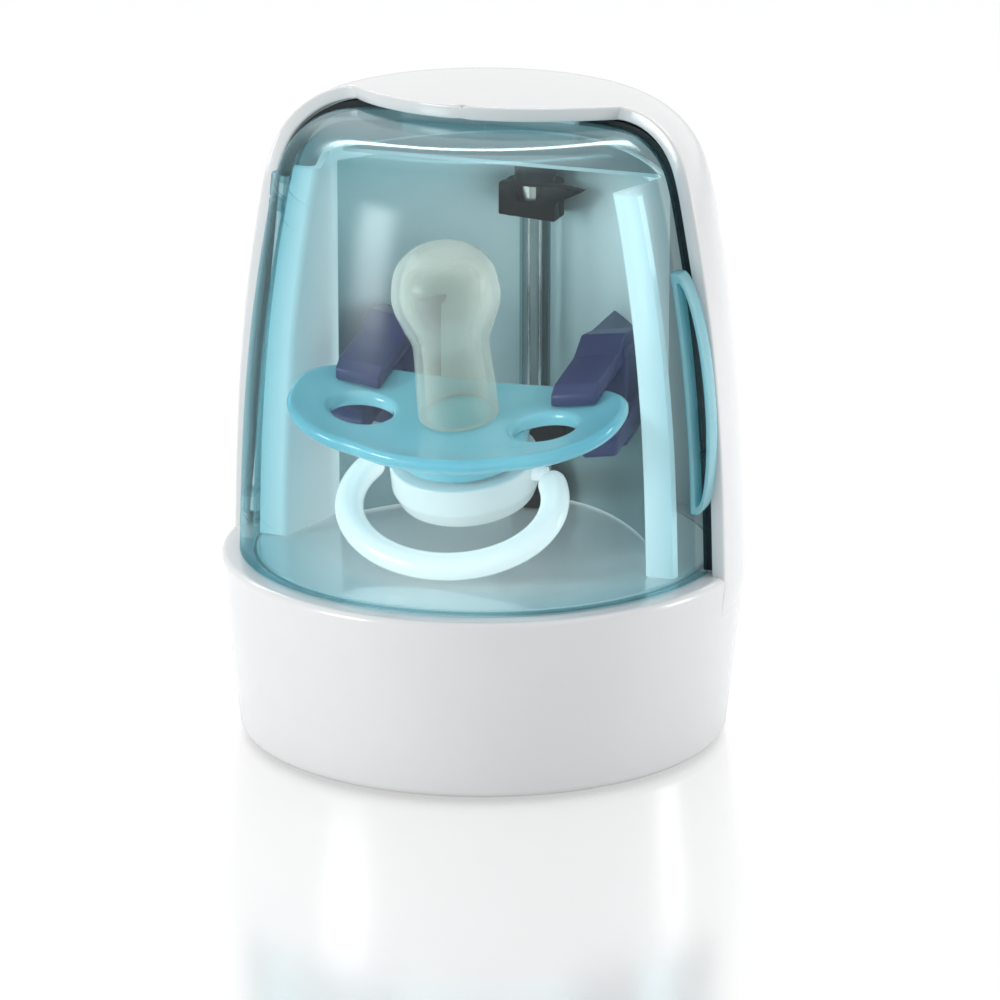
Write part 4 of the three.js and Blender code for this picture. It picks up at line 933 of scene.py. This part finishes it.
rim = ring_wall("pull_rim", pull_outline(0.0, 0.0), pull_outline(PULL_RIM, PULL_RIM * RIM_ROOT_SHARE),
                PULL_Y - PULL_DEEP, PULL_Y, PULL_ROLL)
put("pull_rim", rim, pull_tint, "door")
plate = pull_outline(PULL_RIM * PLATE_SHARE, PULL_RIM * PLATE_SHARE)
plate_rows = [upright(plate, y) for y in (PULL_Y - PULL_PLATE, PULL_Y - PULL_SET_BACK)]
put("pull_web", sweep("pull_web", plate_rows), door_tint, "door")

# %% [markdown]
# The chamber is a pale niche. Its front is a pair of side flanges behind the door, its side walls run
# back and inwards, and its back is a parabola in plan. The polished trough lies in front of that
# parabola, so that light from the lamp comes back over the pacifier from all sides. Both are bent sheets.
# Solidify could thicken a single face, but the dome above cuts both faces differently, so each is written
# and then drawn in until it clears the hood.

# %% Niche walls and ceiling
FLOOR_TOP, RIDGE = 25.1, 76.0
NICHE_FRONT, NICHE_INSET, NICHE_FLANGE, NICHE_WALL = -7.5, 9.5, 5.0, 1.2
TROUGH_HALF, TROUGH_FRONT, TROUGH_BACK, SHEET = 22.4, 4.1, 22.6, 0.5
NICHE_LOW = FLOOR_TOP + SEAT_GAP
NICHE_ROWS, NICHE_POINTS, NICHE_SIDE_STEPS, NICHE_CORNER, ROOF_THICK = 60, 49, 9, 0.9, 0.5
TROUGH_ROWS, TROUGH_POINTS = 40, 97
SHEET_ANGLE, ROOF_ANGLE = 35.0, 30.0


def parabola(half, front, back, count):
    """Plan of the trough from one side to the other: depth falls with the square of the share across."""
    share = np.linspace(1, -1, count)
    return np.stack([half * share, back - (back - front) * share ** 2], 1)


def niche_half(height):
    """Half widths at this height: the flange's outer end, the wall's front edge, the trough's edge."""
    dome = radius_at(height)
    return dome - NICHE_FLANGE, dome - NICHE_INSET, np.minimum(
        TROUGH_HALF + SHEET + SEAT_GAP, radius_at(height, WALL) - 2 * NICHE_WALL)


def niche_section(height, grow):
    """The open C of the niche in plan, grown outwards by a wall's thickness for its rear face."""
    flange, front, narrow = (float(v) for v in niche_half(height))
    back = TROUGH_BACK + SHEET + SEAT_GAP
    curve = parabola(narrow + grow, TROUGH_FRONT, back + grow, NICHE_POINTS)
    corner = (front + grow, NICHE_FRONT + grow, NICHE_CORNER)
    side = rounded([(flange, NICHE_FRONT + grow, 0), corner, (*curve[0], 0)])[:-1]
    steps = np.linspace(0, 1, NICHE_SIDE_STEPS)[:-1, None]
    side = np.concatenate([side[:-1], side[-1] + (curve[0] - side[-1]) * steps])
    plan = np.concatenate([side, curve, side[::-1] * (-1, 1)])
    return np.column_stack([plan, np.full(len(plan), height)])


SEAL_CLEAR, SEAL_BACK = 4.8, 4.0


def within_dome(points):
    """Draws points in along their radius until they clear the seal in front and the hood's wall behind."""
    front = radius_at(points[..., 2], SEAL_CLEAR)
    behind = radius_at(points[..., 2], WALL + SEAT_GAP)
    room = np.where(points[..., 1] < SEAL_BACK, front, behind)
    reach = np.hypot(points[..., 0], points[..., 1])
    scale = np.minimum(1.0, room / np.maximum(reach, 1e-6))
    return points * np.stack([scale, scale, np.ones_like(scale)], -1)


def sheet_mesh(name, rows):
    """A bent sheet. The first half of each row runs along its face and the second half comes back along
    its rear. The foot and the top between the two are closed with a strip each."""
    levels, around = rows.shape[:2]
    step = np.arange(around // 2 - 1)
    foot = np.stack([step, around - 1 - step, around - 2 - step, step + 1], -1)
    faces = [grid_faces(levels, around, True), foot, foot + (levels - 1) * around]
    return make_mesh(name, rows, np.concatenate(faces).tolist(), SHEET_ANGLE)


levels = np.linspace(NICHE_LOW, RIDGE, NICHE_ROWS)
inside = within_dome(np.stack([niche_section(z, 0.0) for z in levels]))
outside = within_dome(np.stack([niche_section(z, NICHE_WALL) for z in levels]))
niche = sheet_mesh("niche_wall", np.concatenate([inside, outside[:, ::-1]], axis=1))
put("niche_wall", niche, pale, "case", ["chamber_liner"])

roof_edge = niche_section(RIDGE, NICHE_WALL / 2)
roof_edge = roof_edge[roof_edge[:, 1] > TROUGH_FRONT]
roof = within_dome(np.stack([roof_edge - (0, 0, ROOF_THICK), roof_edge]))
put("niche_roof", sweep("niche_roof", roof, ROOF_ANGLE), pale_floor, "case")

# %% Polished trough
def trough_row(height):
    """The trough's face and, a sheet's thickness behind, its rear, drawn in where the hood leaves less
    room."""
    room = float(radius_at(height, WALL + NICHE_WALL + 2 * SEAT_GAP))
    face = parabola(TROUGH_HALF, TROUGH_FRONT, TROUGH_BACK, TROUGH_POINTS)
    loop = np.concatenate([face, (face + (0, SHEET))[::-1]])
    loop *= np.minimum(1.0, room / np.hypot(*loop.T))[:, None]
    return np.column_stack([loop, np.full(len(loop), height)])


heights = np.linspace(NICHE_LOW, RIDGE - NICHE_WALL - SEAT_GAP, TROUGH_ROWS)
trough = sheet_mesh("trough", np.stack([trough_row(z) for z in heights]))
put("trough", trough, trough_mirror, "case", ["reflector"])

# %% [markdown]
# The chamber floor is a shallow plate, let into the base from below and held against its shelf. It is
# turned like the base ring, with a step at its edge that the shelf catches.

# %% Chamber floor
PLATE_LOW, PLATE_STEP, PLATE_STEPS = 21.5, 23.1, 128
floor_outline = rounded([
    (0, PLATE_LOW, 0), (31.7, PLATE_LOW, 0.3), (31.7, PLATE_STEP, 0.3), (30.2, PLATE_STEP, 0),
    (30.2, 24.9, 0.1), (29.9, FLOOR_TOP, 0.1), (0, FLOOR_TOP, 0)])
put("chamber_plate", turned_mesh("chamber_plate", floor_outline, PLATE_STEPS), pale_floor, "case",
    ["chamber_floor"])

# %% [markdown]
# The lamp is a slim quartz tube with a plated cap at each end. Only a glass with two walls shows the pair
# of bright and dark lines that the eye catches behind the nipple, so the tube is turned as a hollow
# outline, and two lead wires stand inside it.

# %% Lamp tube and leads
LAMP_Y = 19.4
LAMP_RADIUS, LAMP_BORE = 2.1, 1.75
LAMP_LOW, LAMP_HIGH = 31.8, 65.7
LAMP_STEPS, LAMP_ROUND = 64, 0.15
LEAD_X, LEAD_SET_FORWARD, LEAD_RADIUS, LEAD_ROUND, LEAD_OUT = 0.8, 0.2, 0.22, 0.05, 1.0
tube = rounded([(LAMP_BORE, LAMP_LOW, 0), (LAMP_RADIUS, LAMP_LOW, LAMP_ROUND),
                (LAMP_RADIUS, LAMP_HIGH, LAMP_ROUND), (LAMP_BORE, LAMP_HIGH, 0)], closed=True)
tube_mesh = turned_mesh("lamp_tube", tube, LAMP_STEPS, (0, LAMP_Y), closed=True)
put("lamp_tube", tube_mesh, lamp_glass, "case", ["uv_lamp"])
for side, word in ((-1, "left"), (1, "right")):
    at = np.array([side * LEAD_X, LAMP_Y - LEAD_SET_FORWARD, 0.0])
    rod_piece(f"lamp_lead_{word}", at + (0, 0, LAMP_LOW - LEAD_OUT), at + (0, 0, LAMP_HIGH + LEAD_OUT),
              LEAD_RADIUS, LEAD_ROUND, steel, "case")

# %% [markdown]
# Black holders keep the lamp in place: above, a bracket with a notch in its face and a barb at its right,
# with a round grip and a stem to the ceiling behind it, and below, a cradle and a socket on the floor.
# The flat ones could each be a cube cut to shape. Here a flat outline is pulled back and Blender's own
# bevel breaks its edges, because a sharp black edge would catch no light at all.

# %% Lamp holders
BEVEL_STEPS, BLOCK_ANGLE = 3, 50.0
SOCKET_BORE, SOCKET_RADIUS, SOCKET_LOW, SOCKET_HIGH = 2.7, 3.1, 25.4, 29.5
HOLDER_LOW, HOLDER_HIGH, HOLDER_FRONT, NOTCH_FLOOR = 65.7, 70.6, 15.9, 68.2
BRACKET_DEEP, CRADLE_DEEP, HOLDER_BEVEL = 2.1, 5.2, 0.18
CRADLE_LOW, CRADLE_HIGH, CRADLE_NOTCH = 33.0, 39.0, 36.6
GRIP_RADIUS, GRIP_SET_BACK, GRIP_BACK, HOLDER_ROUND = 3.9, 1.6, 22.0, 0.2
STEM_RADIUS, STEM_SUNK, STEM_TOP, STEM_STEPS = 2.8, 0.3, 75.7, 48


def block_mesh(name, outline, front, back, bevel):
    """A flat outline of (x, z) pulled from front to back, with bevelled edges."""
    points = [(x, front, z) for x, z in outline] + [(x, back, z) for x, z in outline]
    count = len(outline)
    ring = np.arange(count)
    faces = [list(ring[::-1]), list(ring + count)]
    faces += [[i, (i + 1) % count, (i + 1) % count + count, i + count] for i in range(count)]
    mesh = make_mesh(name, points, faces)
    work = bmesh.new()
    work.from_mesh(mesh)
    bmesh.ops.bevel(work, geom=work.edges[:], offset=bevel * MM, segments=BEVEL_STEPS, profile=0.5,
                    affect="EDGES", clamp_overlap=True)
    bmesh.ops.recalc_face_normals(work, faces=work.faces)
    work.to_mesh(mesh)
    work.free()
    mesh.shade_smooth()
    mesh.set_sharp_from_angle(angle=math.radians(BLOCK_ANGLE))
    return mesh


def put_black(name, mesh, replaced=()):
    put(name, mesh, black_part, "case", replaced)


socket = rounded([(SOCKET_BORE, SOCKET_LOW, 0), (SOCKET_RADIUS, SOCKET_LOW, 0.1),
                  (SOCKET_RADIUS, SOCKET_HIGH, 0.3), (SOCKET_BORE, SOCKET_HIGH, 0.1)], closed=True)
socket_mesh = turned_mesh("lamp_socket", socket, LAMP_STEPS, (0, LAMP_Y), closed=True)
put_black("lamp_socket", socket_mesh, ["lamp_holder_bottom"])
bracket_outline = [
    (-4.0, HOLDER_LOW + 0.5), (-4.0, HOLDER_HIGH), (-2.4, HOLDER_HIGH), (-1.2, NOTCH_FLOOR),
    (1.2, NOTCH_FLOOR), (2.4, HOLDER_HIGH), (4.3, HOLDER_HIGH), (7.9, 70.1), (4.0, NOTCH_FLOOR),
    (4.0, HOLDER_LOW)]
cradle_outline = [
    (-4.0, CRADLE_LOW), (-4.0, CRADLE_HIGH), (-2.4, CRADLE_HIGH), (-1.2, CRADLE_NOTCH), (1.2, CRADLE_NOTCH),
    (2.4, CRADLE_HIGH), (5.0, CRADLE_HIGH), (5.6, 36.0), (4.4, CRADLE_LOW)]
for name, outline, deep, replaced in (
        ("lamp_bracket", bracket_outline, BRACKET_DEEP, ["lamp_holder_top"]),
        ("lamp_cradle", cradle_outline, CRADLE_DEEP, [])):
    put_black(name, block_mesh(name, outline, HOLDER_FRONT, HOLDER_FRONT + deep, HOLDER_BEVEL), replaced)
grip = rounded([(SOCKET_BORE, HOLDER_LOW, 0), (GRIP_RADIUS, HOLDER_LOW, HOLDER_ROUND),
                (GRIP_RADIUS, HOLDER_HIGH, HOLDER_ROUND), (SOCKET_BORE, HOLDER_HIGH, 0)], closed=True)
grip_rows = spun(grip, LAMP_STEPS, (0, LAMP_Y))
grip_rows[..., 1] = np.clip(grip_rows[..., 1], HOLDER_FRONT + GRIP_SET_BACK, GRIP_BACK)
put_black("lamp_grip", sweep("lamp_grip", np.concatenate([grip_rows, grip_rows[:1]]), ends=False))
stem_low = HOLDER_HIGH - STEM_SUNK
stem = rounded([(0, stem_low, 0), (STEM_RADIUS, stem_low, HOLDER_ROUND),
                (STEM_RADIUS, STEM_TOP, HOLDER_ROUND), (0, STEM_TOP, 0)])
put_black("lamp_stem", turned_mesh("lamp_stem", stem, STEM_STEPS, (0, LAMP_Y)))

# %% [markdown]
# Two navy clips come forwards out of the trough, one at each side. Each is a fork that is open to the
# front: a tall root behind the shield, a slim upper arm with a chamfered nose that lies over the shield's
# wing, and a short finger under it. They lean forwards with the pacifier. Each of the three is drawn from
# the side with its heights measured from the shield, so that the fork keeps the same gap to the wing all
# the way.

# %% Clips
PACIFIER_Y, PACIFIER_Z, LEAN = -8.7, 44.2, math.radians(15.0)
SHIELD_THICK, SHIELD_RISE, SHIELD_HALF = 2.2, 2.4, 23.1
CLIP_REAR, CLIP_BEVEL = 20.0, 0.5
ARM = [(-7.0, 0.35), (-7.0, 1.9), (-5.6, 2.8), (1.6, 2.7), (4.6, 4.2), (8.6, 2.8), (CLIP_REAR, 1.0),
       (CLIP_REAR, 0.35)]
ROOT = [(3.7, -11.0), (3.7, 2.6), (CLIP_REAR, 0.6), (CLIP_REAR, -11.0)]
FINGER = [(-4.5, -7.9), (-4.5, -6.2), (-3.6, -5.3), (CLIP_REAR, -5.3), (CLIP_REAR, -8.4), (-3.6, -8.4)]
CLIP_PARTS = (("arm", ARM, 12.0, 18.3), ("web", ROOT, 12.6, 18.9), ("finger", FINGER, 15.4, 20.2))


def clip_block(name, side, profile, inner, outer, bevel):
    """A side view of (y, height over the shield's upper face) pulled sideways from the inner to the outer
    x. The heights follow the shield's rise towards its tips and its lean, and the far end stops in the
    trough."""
    mesh = block_mesh(name, profile, inner, outer, bevel)
    y, x, over = mesh_points(mesh).T
    y = np.minimum(y, TROUGH_BACK - (TROUGH_BACK - TROUGH_FRONT) * (x / TROUGH_HALF) ** 2 + SHEET)
    face = PACIFIER_Z + SHIELD_THICK / 2 / math.cos(LEAN) + SHIELD_RISE * (x / SHIELD_HALF) ** 2
    height = face + over + (y - PACIFIER_Y) * math.tan(LEAN)
    move_points(mesh, np.stack([side * x, y, height], 1))
    work = bmesh.new()
    work.from_mesh(mesh)
    bmesh.ops.recalc_face_normals(work, faces=work.faces)
    work.to_mesh(mesh)
    work.free()
    return mesh


for side, word in ((-1, "left"), (1, "right")):
    for kind, profile, inner, outer in CLIP_PARTS:
        piece = f"clip_{kind}_{word}"
        put(piece, clip_block(piece, side, profile, inner, outer, CLIP_BEVEL), navy, "case",
            [f"clip_{word}"] if kind == "arm" else [])

# %% [markdown]
# The pacifier lies back in its clips, tipped fifteen degrees forwards. Its pieces are worked out upright,
# with the shield's middle at the origin, and then turned and moved to their seat. The shield is a curved
# oval plate with two vents. Booleans could cut the vents, but a plate filled with small triangles between
# its outline and its holes bends evenly into the saddle, and every edge gets its own smooth rounding.

# %% Pacifier shield
SHIELD_DEEP, WAIST, BLUNT = 11.6, 2.2, 0.85
FRONT_DEEPER, PINCH, PINCH_X, PINCH_WIDE = 2.3, 0.9, 10.5, 3.5
VENT_X, VENT_Y, VENT_WIDE, VENT_DEEP = 12.8, -2.2, 4.2, 3.4
OVAL_FINE, OVAL_SOFTEN, OVAL_POINTS, VENT_POINTS = 2000, 31, 200, 72
RIM_TURN, RIM_START = 1.1, 0.45
SHIELD_ROLL, SHIELD_GRID, GRID_MARGIN, SHIELD_ANGLE = 1.0, 0.8, 0.6, 60.0


def seated(points):
    """Turns points by the lean about the x axis and moves them to the clips."""
    points = np.asarray(points, float)
    y, z = points[..., 1], points[..., 2]
    return np.stack([
        points[..., 0],
        y * math.cos(LEAN) - z * math.sin(LEAN) + PACIFIER_Y,
        y * math.sin(LEAN) + z * math.cos(LEAN) + PACIFIER_Z,
    ], -1)


def shield_loop(inset):
    """A blunt oval, drawn in at the back under the nose, moved inwards by inset along its own normal:
    cosine and sine to a power below 1 give the oval its full corners."""
    angle = np.linspace(0, 2 * math.pi, OVAL_FINE, endpoint=False)
    wide, deep = np.cos(angle), np.sin(angle)
    x = SHIELD_HALF * np.sign(wide) * np.abs(wide) ** BLUNT
    y = SHIELD_DEEP * np.sign(deep) * np.abs(deep) ** BLUNT - np.where(deep > 0, WAIST * (1 - wide ** 2), 0)
    pinch = PINCH * np.exp(-((np.abs(x) - PINCH_X) / PINCH_WIDE) ** 2)
    y += np.where(deep < 0, np.abs(deep) ** BLUNT * (pinch - FRONT_DEEPER), 0)
    loop = np.stack([x, y], 1)
    window = np.hanning(2 * OVAL_SOFTEN + 1)
    window /= window.sum()
    loop = np.stack([np.convolve(np.pad(loop[:, k], OVAL_SOFTEN, mode="wrap"), window, "valid")
                     for k in (0, 1)], 1)
    shut = np.concatenate([loop, loop[:1]])
    loop = placed_along(shut, np.linspace(0, way_along(shut)[-1], OVAL_POINTS, endpoint=False))
    along = np.roll(loop, -1, 0) - np.roll(loop, 1, 0)
    along /= np.linalg.norm(along, axis=1, keepdims=True)
    return loop + inset * along[:, ::-1] * (-1, 1)


def vent_loop(side, grow):
    """The oval hole at one side, made larger by grow, which moves its edge into the plate."""
    angle = np.linspace(0, 2 * math.pi, VENT_POINTS, endpoint=False)
    x = side * VENT_X + (VENT_WIDE + grow) * np.cos(angle)
    return np.stack([x, VENT_Y + (VENT_DEEP + grow) * np.sin(angle)], 1)


def saddle(x, y):
    """The wings rise with the square of the distance, and the rim turns up a little all round."""
    out = (x / SHIELD_HALF) ** 2 + (y / SHIELD_DEEP) ** 2
    return SHIELD_RISE * (x / SHIELD_HALF) ** 2 + RIM_TURN * np.clip(out - RIM_START, 0, 1) ** 1.5


def inside(points, loop):
    """Even-odd rule: a point is inside if a line to its right crosses the loop an odd number of times."""
    a, b = loop, np.roll(loop, -1, 0)
    up = (a[:, 1] > points[:, 1:]) != (b[:, 1] > points[:, 1:])
    rise = np.where(b[:, 1] == a[:, 1], 1e-9, b[:, 1] - a[:, 1])
    cross = a[:, 0] + (points[:, 1:] - a[:, 1]) / rise * (b[:, 0] - a[:, 0])
    return (up & (points[:, :1] < cross)).sum(1) % 2 == 1


def in_plate(points, loops):
    """Inside the first loop and outside all the others."""
    return inside(points, loops[0]) & ~np.any([inside(points, hole) for hole in loops[1:]], axis=0)


def flat_triangles(loops, fences, spacing):
    """Fills the space between the loops with triangles whose corners are the loops' points and those
    points of a square grid that lie within the fences."""
    low, high = loops[0].min(0), loops[0].max(0)
    xs, ys = np.meshgrid(np.arange(low[0], high[0], spacing), np.arange(low[1], high[1], spacing))
    grid = np.stack([xs.ravel(), ys.ravel()], 1)
    edges, start = [], 0
    for loop in loops:
        edges += [(start + i, start + (i + 1) % len(loop)) for i in range(len(loop))]
        start += len(loop)
    everything = np.concatenate([*loops, grid[in_plate(grid, fences)]])
    placed, _, triangles, *_ = geometry.delaunay_2d_cdt([Vector(p) for p in everything], edges, [], 0, 1e-6)
    placed, triangles = np.array([tuple(p) for p in placed]), np.array(triangles)
    return placed, triangles[in_plate(placed[triangles].mean(1), loops)]


def holed_plate(loops, thick, roll, spacing, lift):
    """A plate with rounded edges. loops are functions that give a loop moved into the plate by an amount:
    the first is the outline, the rest are holes. Both flat faces are filled with triangles, and each
    rounded edge is a quarter turn above, a straight wall and a quarter turn below."""
    fences = [loop(roll + spacing * GRID_MARGIN) for loop in loops]
    placed, triangles = flat_triangles([loop(roll) for loop in loops], fences, spacing)
    half = thick / 2

    def raised(points, height):
        return np.column_stack([points, lift(points[:, 0], points[:, 1]) + height])

    points = [raised(placed, half), raised(placed, -half)]
    faces = [*triangles.tolist(), *(triangles[:, ::-1] + len(placed)).tolist()]
    start = 2 * len(placed)
    for loop in loops:
        rows = np.stack([
            raised(loop(roll * (1 - math.sin(a))), (half - roll) * np.sign(math.cos(a)) + roll * math.cos(a))
            for a in np.linspace(0, math.pi, 2 * ROUND_STEPS)])
        points.append(rows.reshape(-1, 3))
        faces += (grid_faces(*rows.shape[:2], True) + start).tolist()
        start += rows.shape[0] * rows.shape[1]
    return np.concatenate(points), faces


loops = [shield_loop, lambda inset: vent_loop(-1, inset), lambda inset: vent_loop(1, inset)]
points, faces = holed_plate(loops, SHIELD_THICK, SHIELD_ROLL, SHIELD_GRID, saddle)
put("shield", make_mesh("shield", seated(points), faces, SHIELD_ANGLE), shield_blue, "pacifier",
    ["pacifier_shield"])

# %% [markdown]
# The nipple is one turned bag of silicone with a waist and a bulb. The button closes it from below
# through a blue collar, and the ring swings on two pins in the button's sides. The bag is hollow, because
# only then do the reflections of its inner wall show through, which is what tells silicone from solid
# glass.

# %% Nipple, collar and button
NIPPLE_SHARES = np.array([
    [1.03, 0], [1.01, 0.16], [0.97, 0.36], [1.0, 0.46], [1.19, 0.57], [1.34, 0.67], [1.36, 0.76], [1.2, 0.89],
    [0.72, 0.98], [0, 1]])
NECK, NIPPLE_TALL, NIPPLE_WALL, NIPPLE_STEPS, POLE = 5.2, 24.0, 1.1, 10, 0.02
BOSS, BOSS_TALL, BOSS_FLARE, BOSS_SUNK, BOSS_GAP = 8.6, 3.4, 0.6, 0.3, 0.02
BUTTON, BUTTON_TALL, BUTTON_TAPER, BUTTON_BULGE = 9.8, 6.4, 1.0, 2.4
PACIFIER_STEPS, SOFT_ANGLE = 128, 60.0


def put_turned(name, profile, material, replaced, smooth_angle=SMOOTH_ANGLE):
    """A turned piece of the pacifier, worked out upright and then seated."""
    mesh = sweep(name, seated(spun(profile, PACIFIER_STEPS)), smooth_angle, ends=False)
    put(name, mesh, material, "pacifier", [replaced])


profile = smooth_curve(NIPPLE_SHARES * (NECK, NIPPLE_TALL), NIPPLE_STEPS)
profile[:, 1] += SHIELD_THICK / 2 + SEAT_GAP
inner = profile - NIPPLE_WALL * directions(profile)[:, ::-1] * (1, -1)
inner[-1, 0] = 0
inner = inner[(inner[:, 0] > POLE) | (np.arange(len(inner)) == len(inner) - 1)]
put_turned("nipple", np.concatenate([profile[::-1], inner]), silicone, "pacifier_nipple",
           SOFT_ANGLE)
under = -SHIELD_THICK / 2 - BOSS_GAP
collar = rounded([
    (0, under - BOSS_TALL, 0), (BOSS, under - BOSS_TALL, 0.5), (BOSS + BOSS_FLARE, under, 0),
    (BOSS + BOSS_FLARE, -BOSS_SUNK, 0), (0, -BOSS_SUNK, 0)])
put_turned("shield_collar", collar, shield_blue, "pacifier_boss")
high = -SHIELD_THICK / 2 - SEAT_GAP - BOSS_TALL - SEAT_GAP
low = high + SEAT_GAP - BUTTON_TALL
button = rounded([
    (0, low, 0), (BUTTON - BUTTON_TAPER, low, 1.2), (BUTTON, low + BUTTON_BULGE, 1.5), (BUTTON, high, 0.35),
    (0, high, 0)])
put_turned("button", button, button_white, "pacifier_button")

# %% [markdown]
# The ring is a bow of oval tube that hangs forwards from its pins. A curve with a round bevel would give
# a tube of one thickness. Here ovals of points stand square to the bow, flatter across its plane, and
# shrink near both ends like the outline of a circle, so that the ends are round.

# %% Ring handle
RING_HALF, RING_TALL, RING_TUBE, RING_FLAT = 14.1, 10.35, 1.9, 0.88
RING_HANG, RING_OPEN = math.radians(38.0), math.radians(35.0)
RING_POINTS, TUBE_STEPS, END_SHARE = 120, 32, 0.02
PIVOT_DROP, PIN, PIN_IN, PIN_END, PIN_END_SHARE = -6.8, 1.0, 1.6, 0.2, 0.8
turn = np.linspace(0, 2 * math.pi, TUBE_STEPS, endpoint=False)[:, None]


def tube_rows(path, radius, flat, across):
    """Ovals of points square to a path: along a side by the cosine of the turn, and across the path's
    plane by its sine times flat."""
    along = directions(path)
    side = np.cross(along, across)
    side /= np.linalg.norm(side, axis=1, keepdims=True)
    other = np.cross(side, along)
    return path[:, None] + radius[:, None, None] * (side[:, None] * np.cos(turn)
                                                    + flat * other[:, None] * np.sin(turn))


angle = np.linspace(-RING_OPEN, math.pi + RING_OPEN, RING_POINTS)
reach = RING_TALL * (math.sin(RING_OPEN) + np.sin(angle))
hang = RING_HANG - LEAN
path = np.stack([RING_HALF * np.cos(angle), -reach * math.cos(hang), PIVOT_DROP - reach * math.sin(hang)], 1)
way_in = way_along(path)
way_in = np.minimum(way_in, way_in[-1] - way_in)
radius = RING_TUBE * np.sqrt(np.clip(1 - np.clip(1 - way_in / RING_TUBE, 0, 1) ** 2, END_SHARE, 1))
rows = tube_rows(path, radius, RING_FLAT, (0.0, math.sin(hang), -math.cos(hang)))
put("ring", sweep("ring", seated(rows), SOFT_ANGLE), ring_white, "pacifier_ring",
    ["pacifier_ring"])
for side, word in ((-1, "left"), (1, "right")):
    start, end = seated([[side * RING_HALF * math.cos(RING_OPEN), 0, PIVOT_DROP],
                         [side * (BUTTON - PIN_IN), 0, PIVOT_DROP]])
    axis = (end - start) / np.linalg.norm(end - start)
    up = np.array([0.0, 0.0, 1.0])
    circle = PIN * (up * np.cos(turn) + np.cross(axis, up) * np.sin(turn))
    rows = [start + circle, end - PIN_END * axis + circle, end + PIN_END_SHARE * circle]
    put(f"ring_pin_{word}", sweep(f"ring_pin_{word}", rows), ring_white, "pacifier_ring")

# %% [markdown]
# The picture is a studio shot on a white table. Soft lights stand left, right and above, and a long
# narrow one behind draws the bright line on the door's shoulder. The world around is a plain pale grey
# that lights the case at an even level, and full white for the camera and for gloss, so that the
# background is white without more light on the case. The table is white where the camera sees it, keeps a
# soft shadow, and mirrors the case faintly, as in the photograph.

# %% Studio
def area_light(name, place_mm, look_mm, size_mm, watts):
    data = bpy.data.lights.new(name, "AREA")
    data.shape, data.size, data.size_y = "RECTANGLE", size_mm[0] * MM, size_mm[1] * MM
    data.energy = watts
    lamp = bpy.data.objects.new(name, data)
    here, there = Vector(place_mm) * MM, Vector(look_mm) * MM
    lamp.location = here
    lamp.rotation_euler = (there - here).to_track_quat("-Z", "Y").to_euler()
    bpy.context.scene.collection.objects.link(lamp)


area_light("softbox_left", (-310, -370, 150), (0, 0, 50), (170, 175), 1.02)
area_light("softbox_right", (440, 170, 130), (0, 0, 50), (120, 220), 0.66)
area_light("softbox_top", (0, 40, 520), (0, 0, 50), (900, 500), 1.15)
area_light("bar_back", (-150, 400, 390), (0, 0, 75), (900, 50), 1.1)

WORLD_COLOR, WORLD_STRENGTH = (0.9, 0.93, 0.95, 1.0), 0.72
world = bpy.data.worlds.new("studio_world")
bpy.context.scene.world = world
world.use_nodes = True
tree = world.node_tree
tree.nodes.clear()
path = tree.nodes.new("ShaderNodeLightPath")
seen = Wire(tree, path.outputs["Is Camera Ray"])
for kind in ("Is Glossy Ray", "Is Transmission Ray"):
    seen = seen.larger(Wire(tree, path.outputs[kind]))
plain, bright = tree.nodes.new("ShaderNodeBackground"), tree.nodes.new("ShaderNodeBackground")
for node, color, strength in ((plain, WORLD_COLOR, WORLD_STRENGTH), (bright, (1.0, 1.0, 1.0, 1.0), 1.0)):
    node.inputs["Color"].default_value = color
    node.inputs["Strength"].default_value = strength
mix = tree.nodes.new("ShaderNodeMixShader")
tree.links.new(seen.socket, mix.inputs[0])
tree.links.new(plain.outputs[0], mix.inputs[1])
tree.links.new(bright.outputs[0], mix.inputs[2])
world_out = tree.nodes.new("ShaderNodeOutputWorld")
tree.links.new(mix.outputs[0], world_out.inputs["Surface"])


GLOW_SHARE, MIRROR_SHARE, MIRROR_BLUR = 0.9, 0.38, 0.17


def floor_finish():
    """White where the camera looks, with a faint blurred mirror image and a share of real light and
    shadow."""
    f = Finish("studio_floor")
    lit = f.shader(Base_Color=(0.92, 0.92, 0.92), Roughness=0.9)
    glow = f.node("Emission", 0, None, Color=(1.0, 1.0, 1.0), Strength=1.0)
    mirror = f.node("BsdfGlossy", 0, None, Color=(1.0, 1.0, 1.0), Roughness=MIRROR_BLUR)
    camera_ray = f.node("LightPath", "Is Camera Ray")
    shown = f.blend(MIRROR_SHARE, f.blend(GLOW_SHARE, lit, glow), mirror)
    return f.done(f.blend(camera_ray, lit, shown))


FLOOR_REACH = 3.0
corners = [(x * FLOOR_REACH, y * FLOOR_REACH, 0.0) for x, y in ((-1, -1), (1, -1), (1, 1), (-1, 1))]
floor_mesh = bpy.data.meshes.new("studio_floor")
floor_mesh.from_pydata(corners, [], [(0, 1, 2, 3)])
floor = bpy.data.objects.new("studio_floor", floor_mesh)
floor_mesh.materials.append(floor_finish())
bpy.context.scene.collection.objects.link(floor)
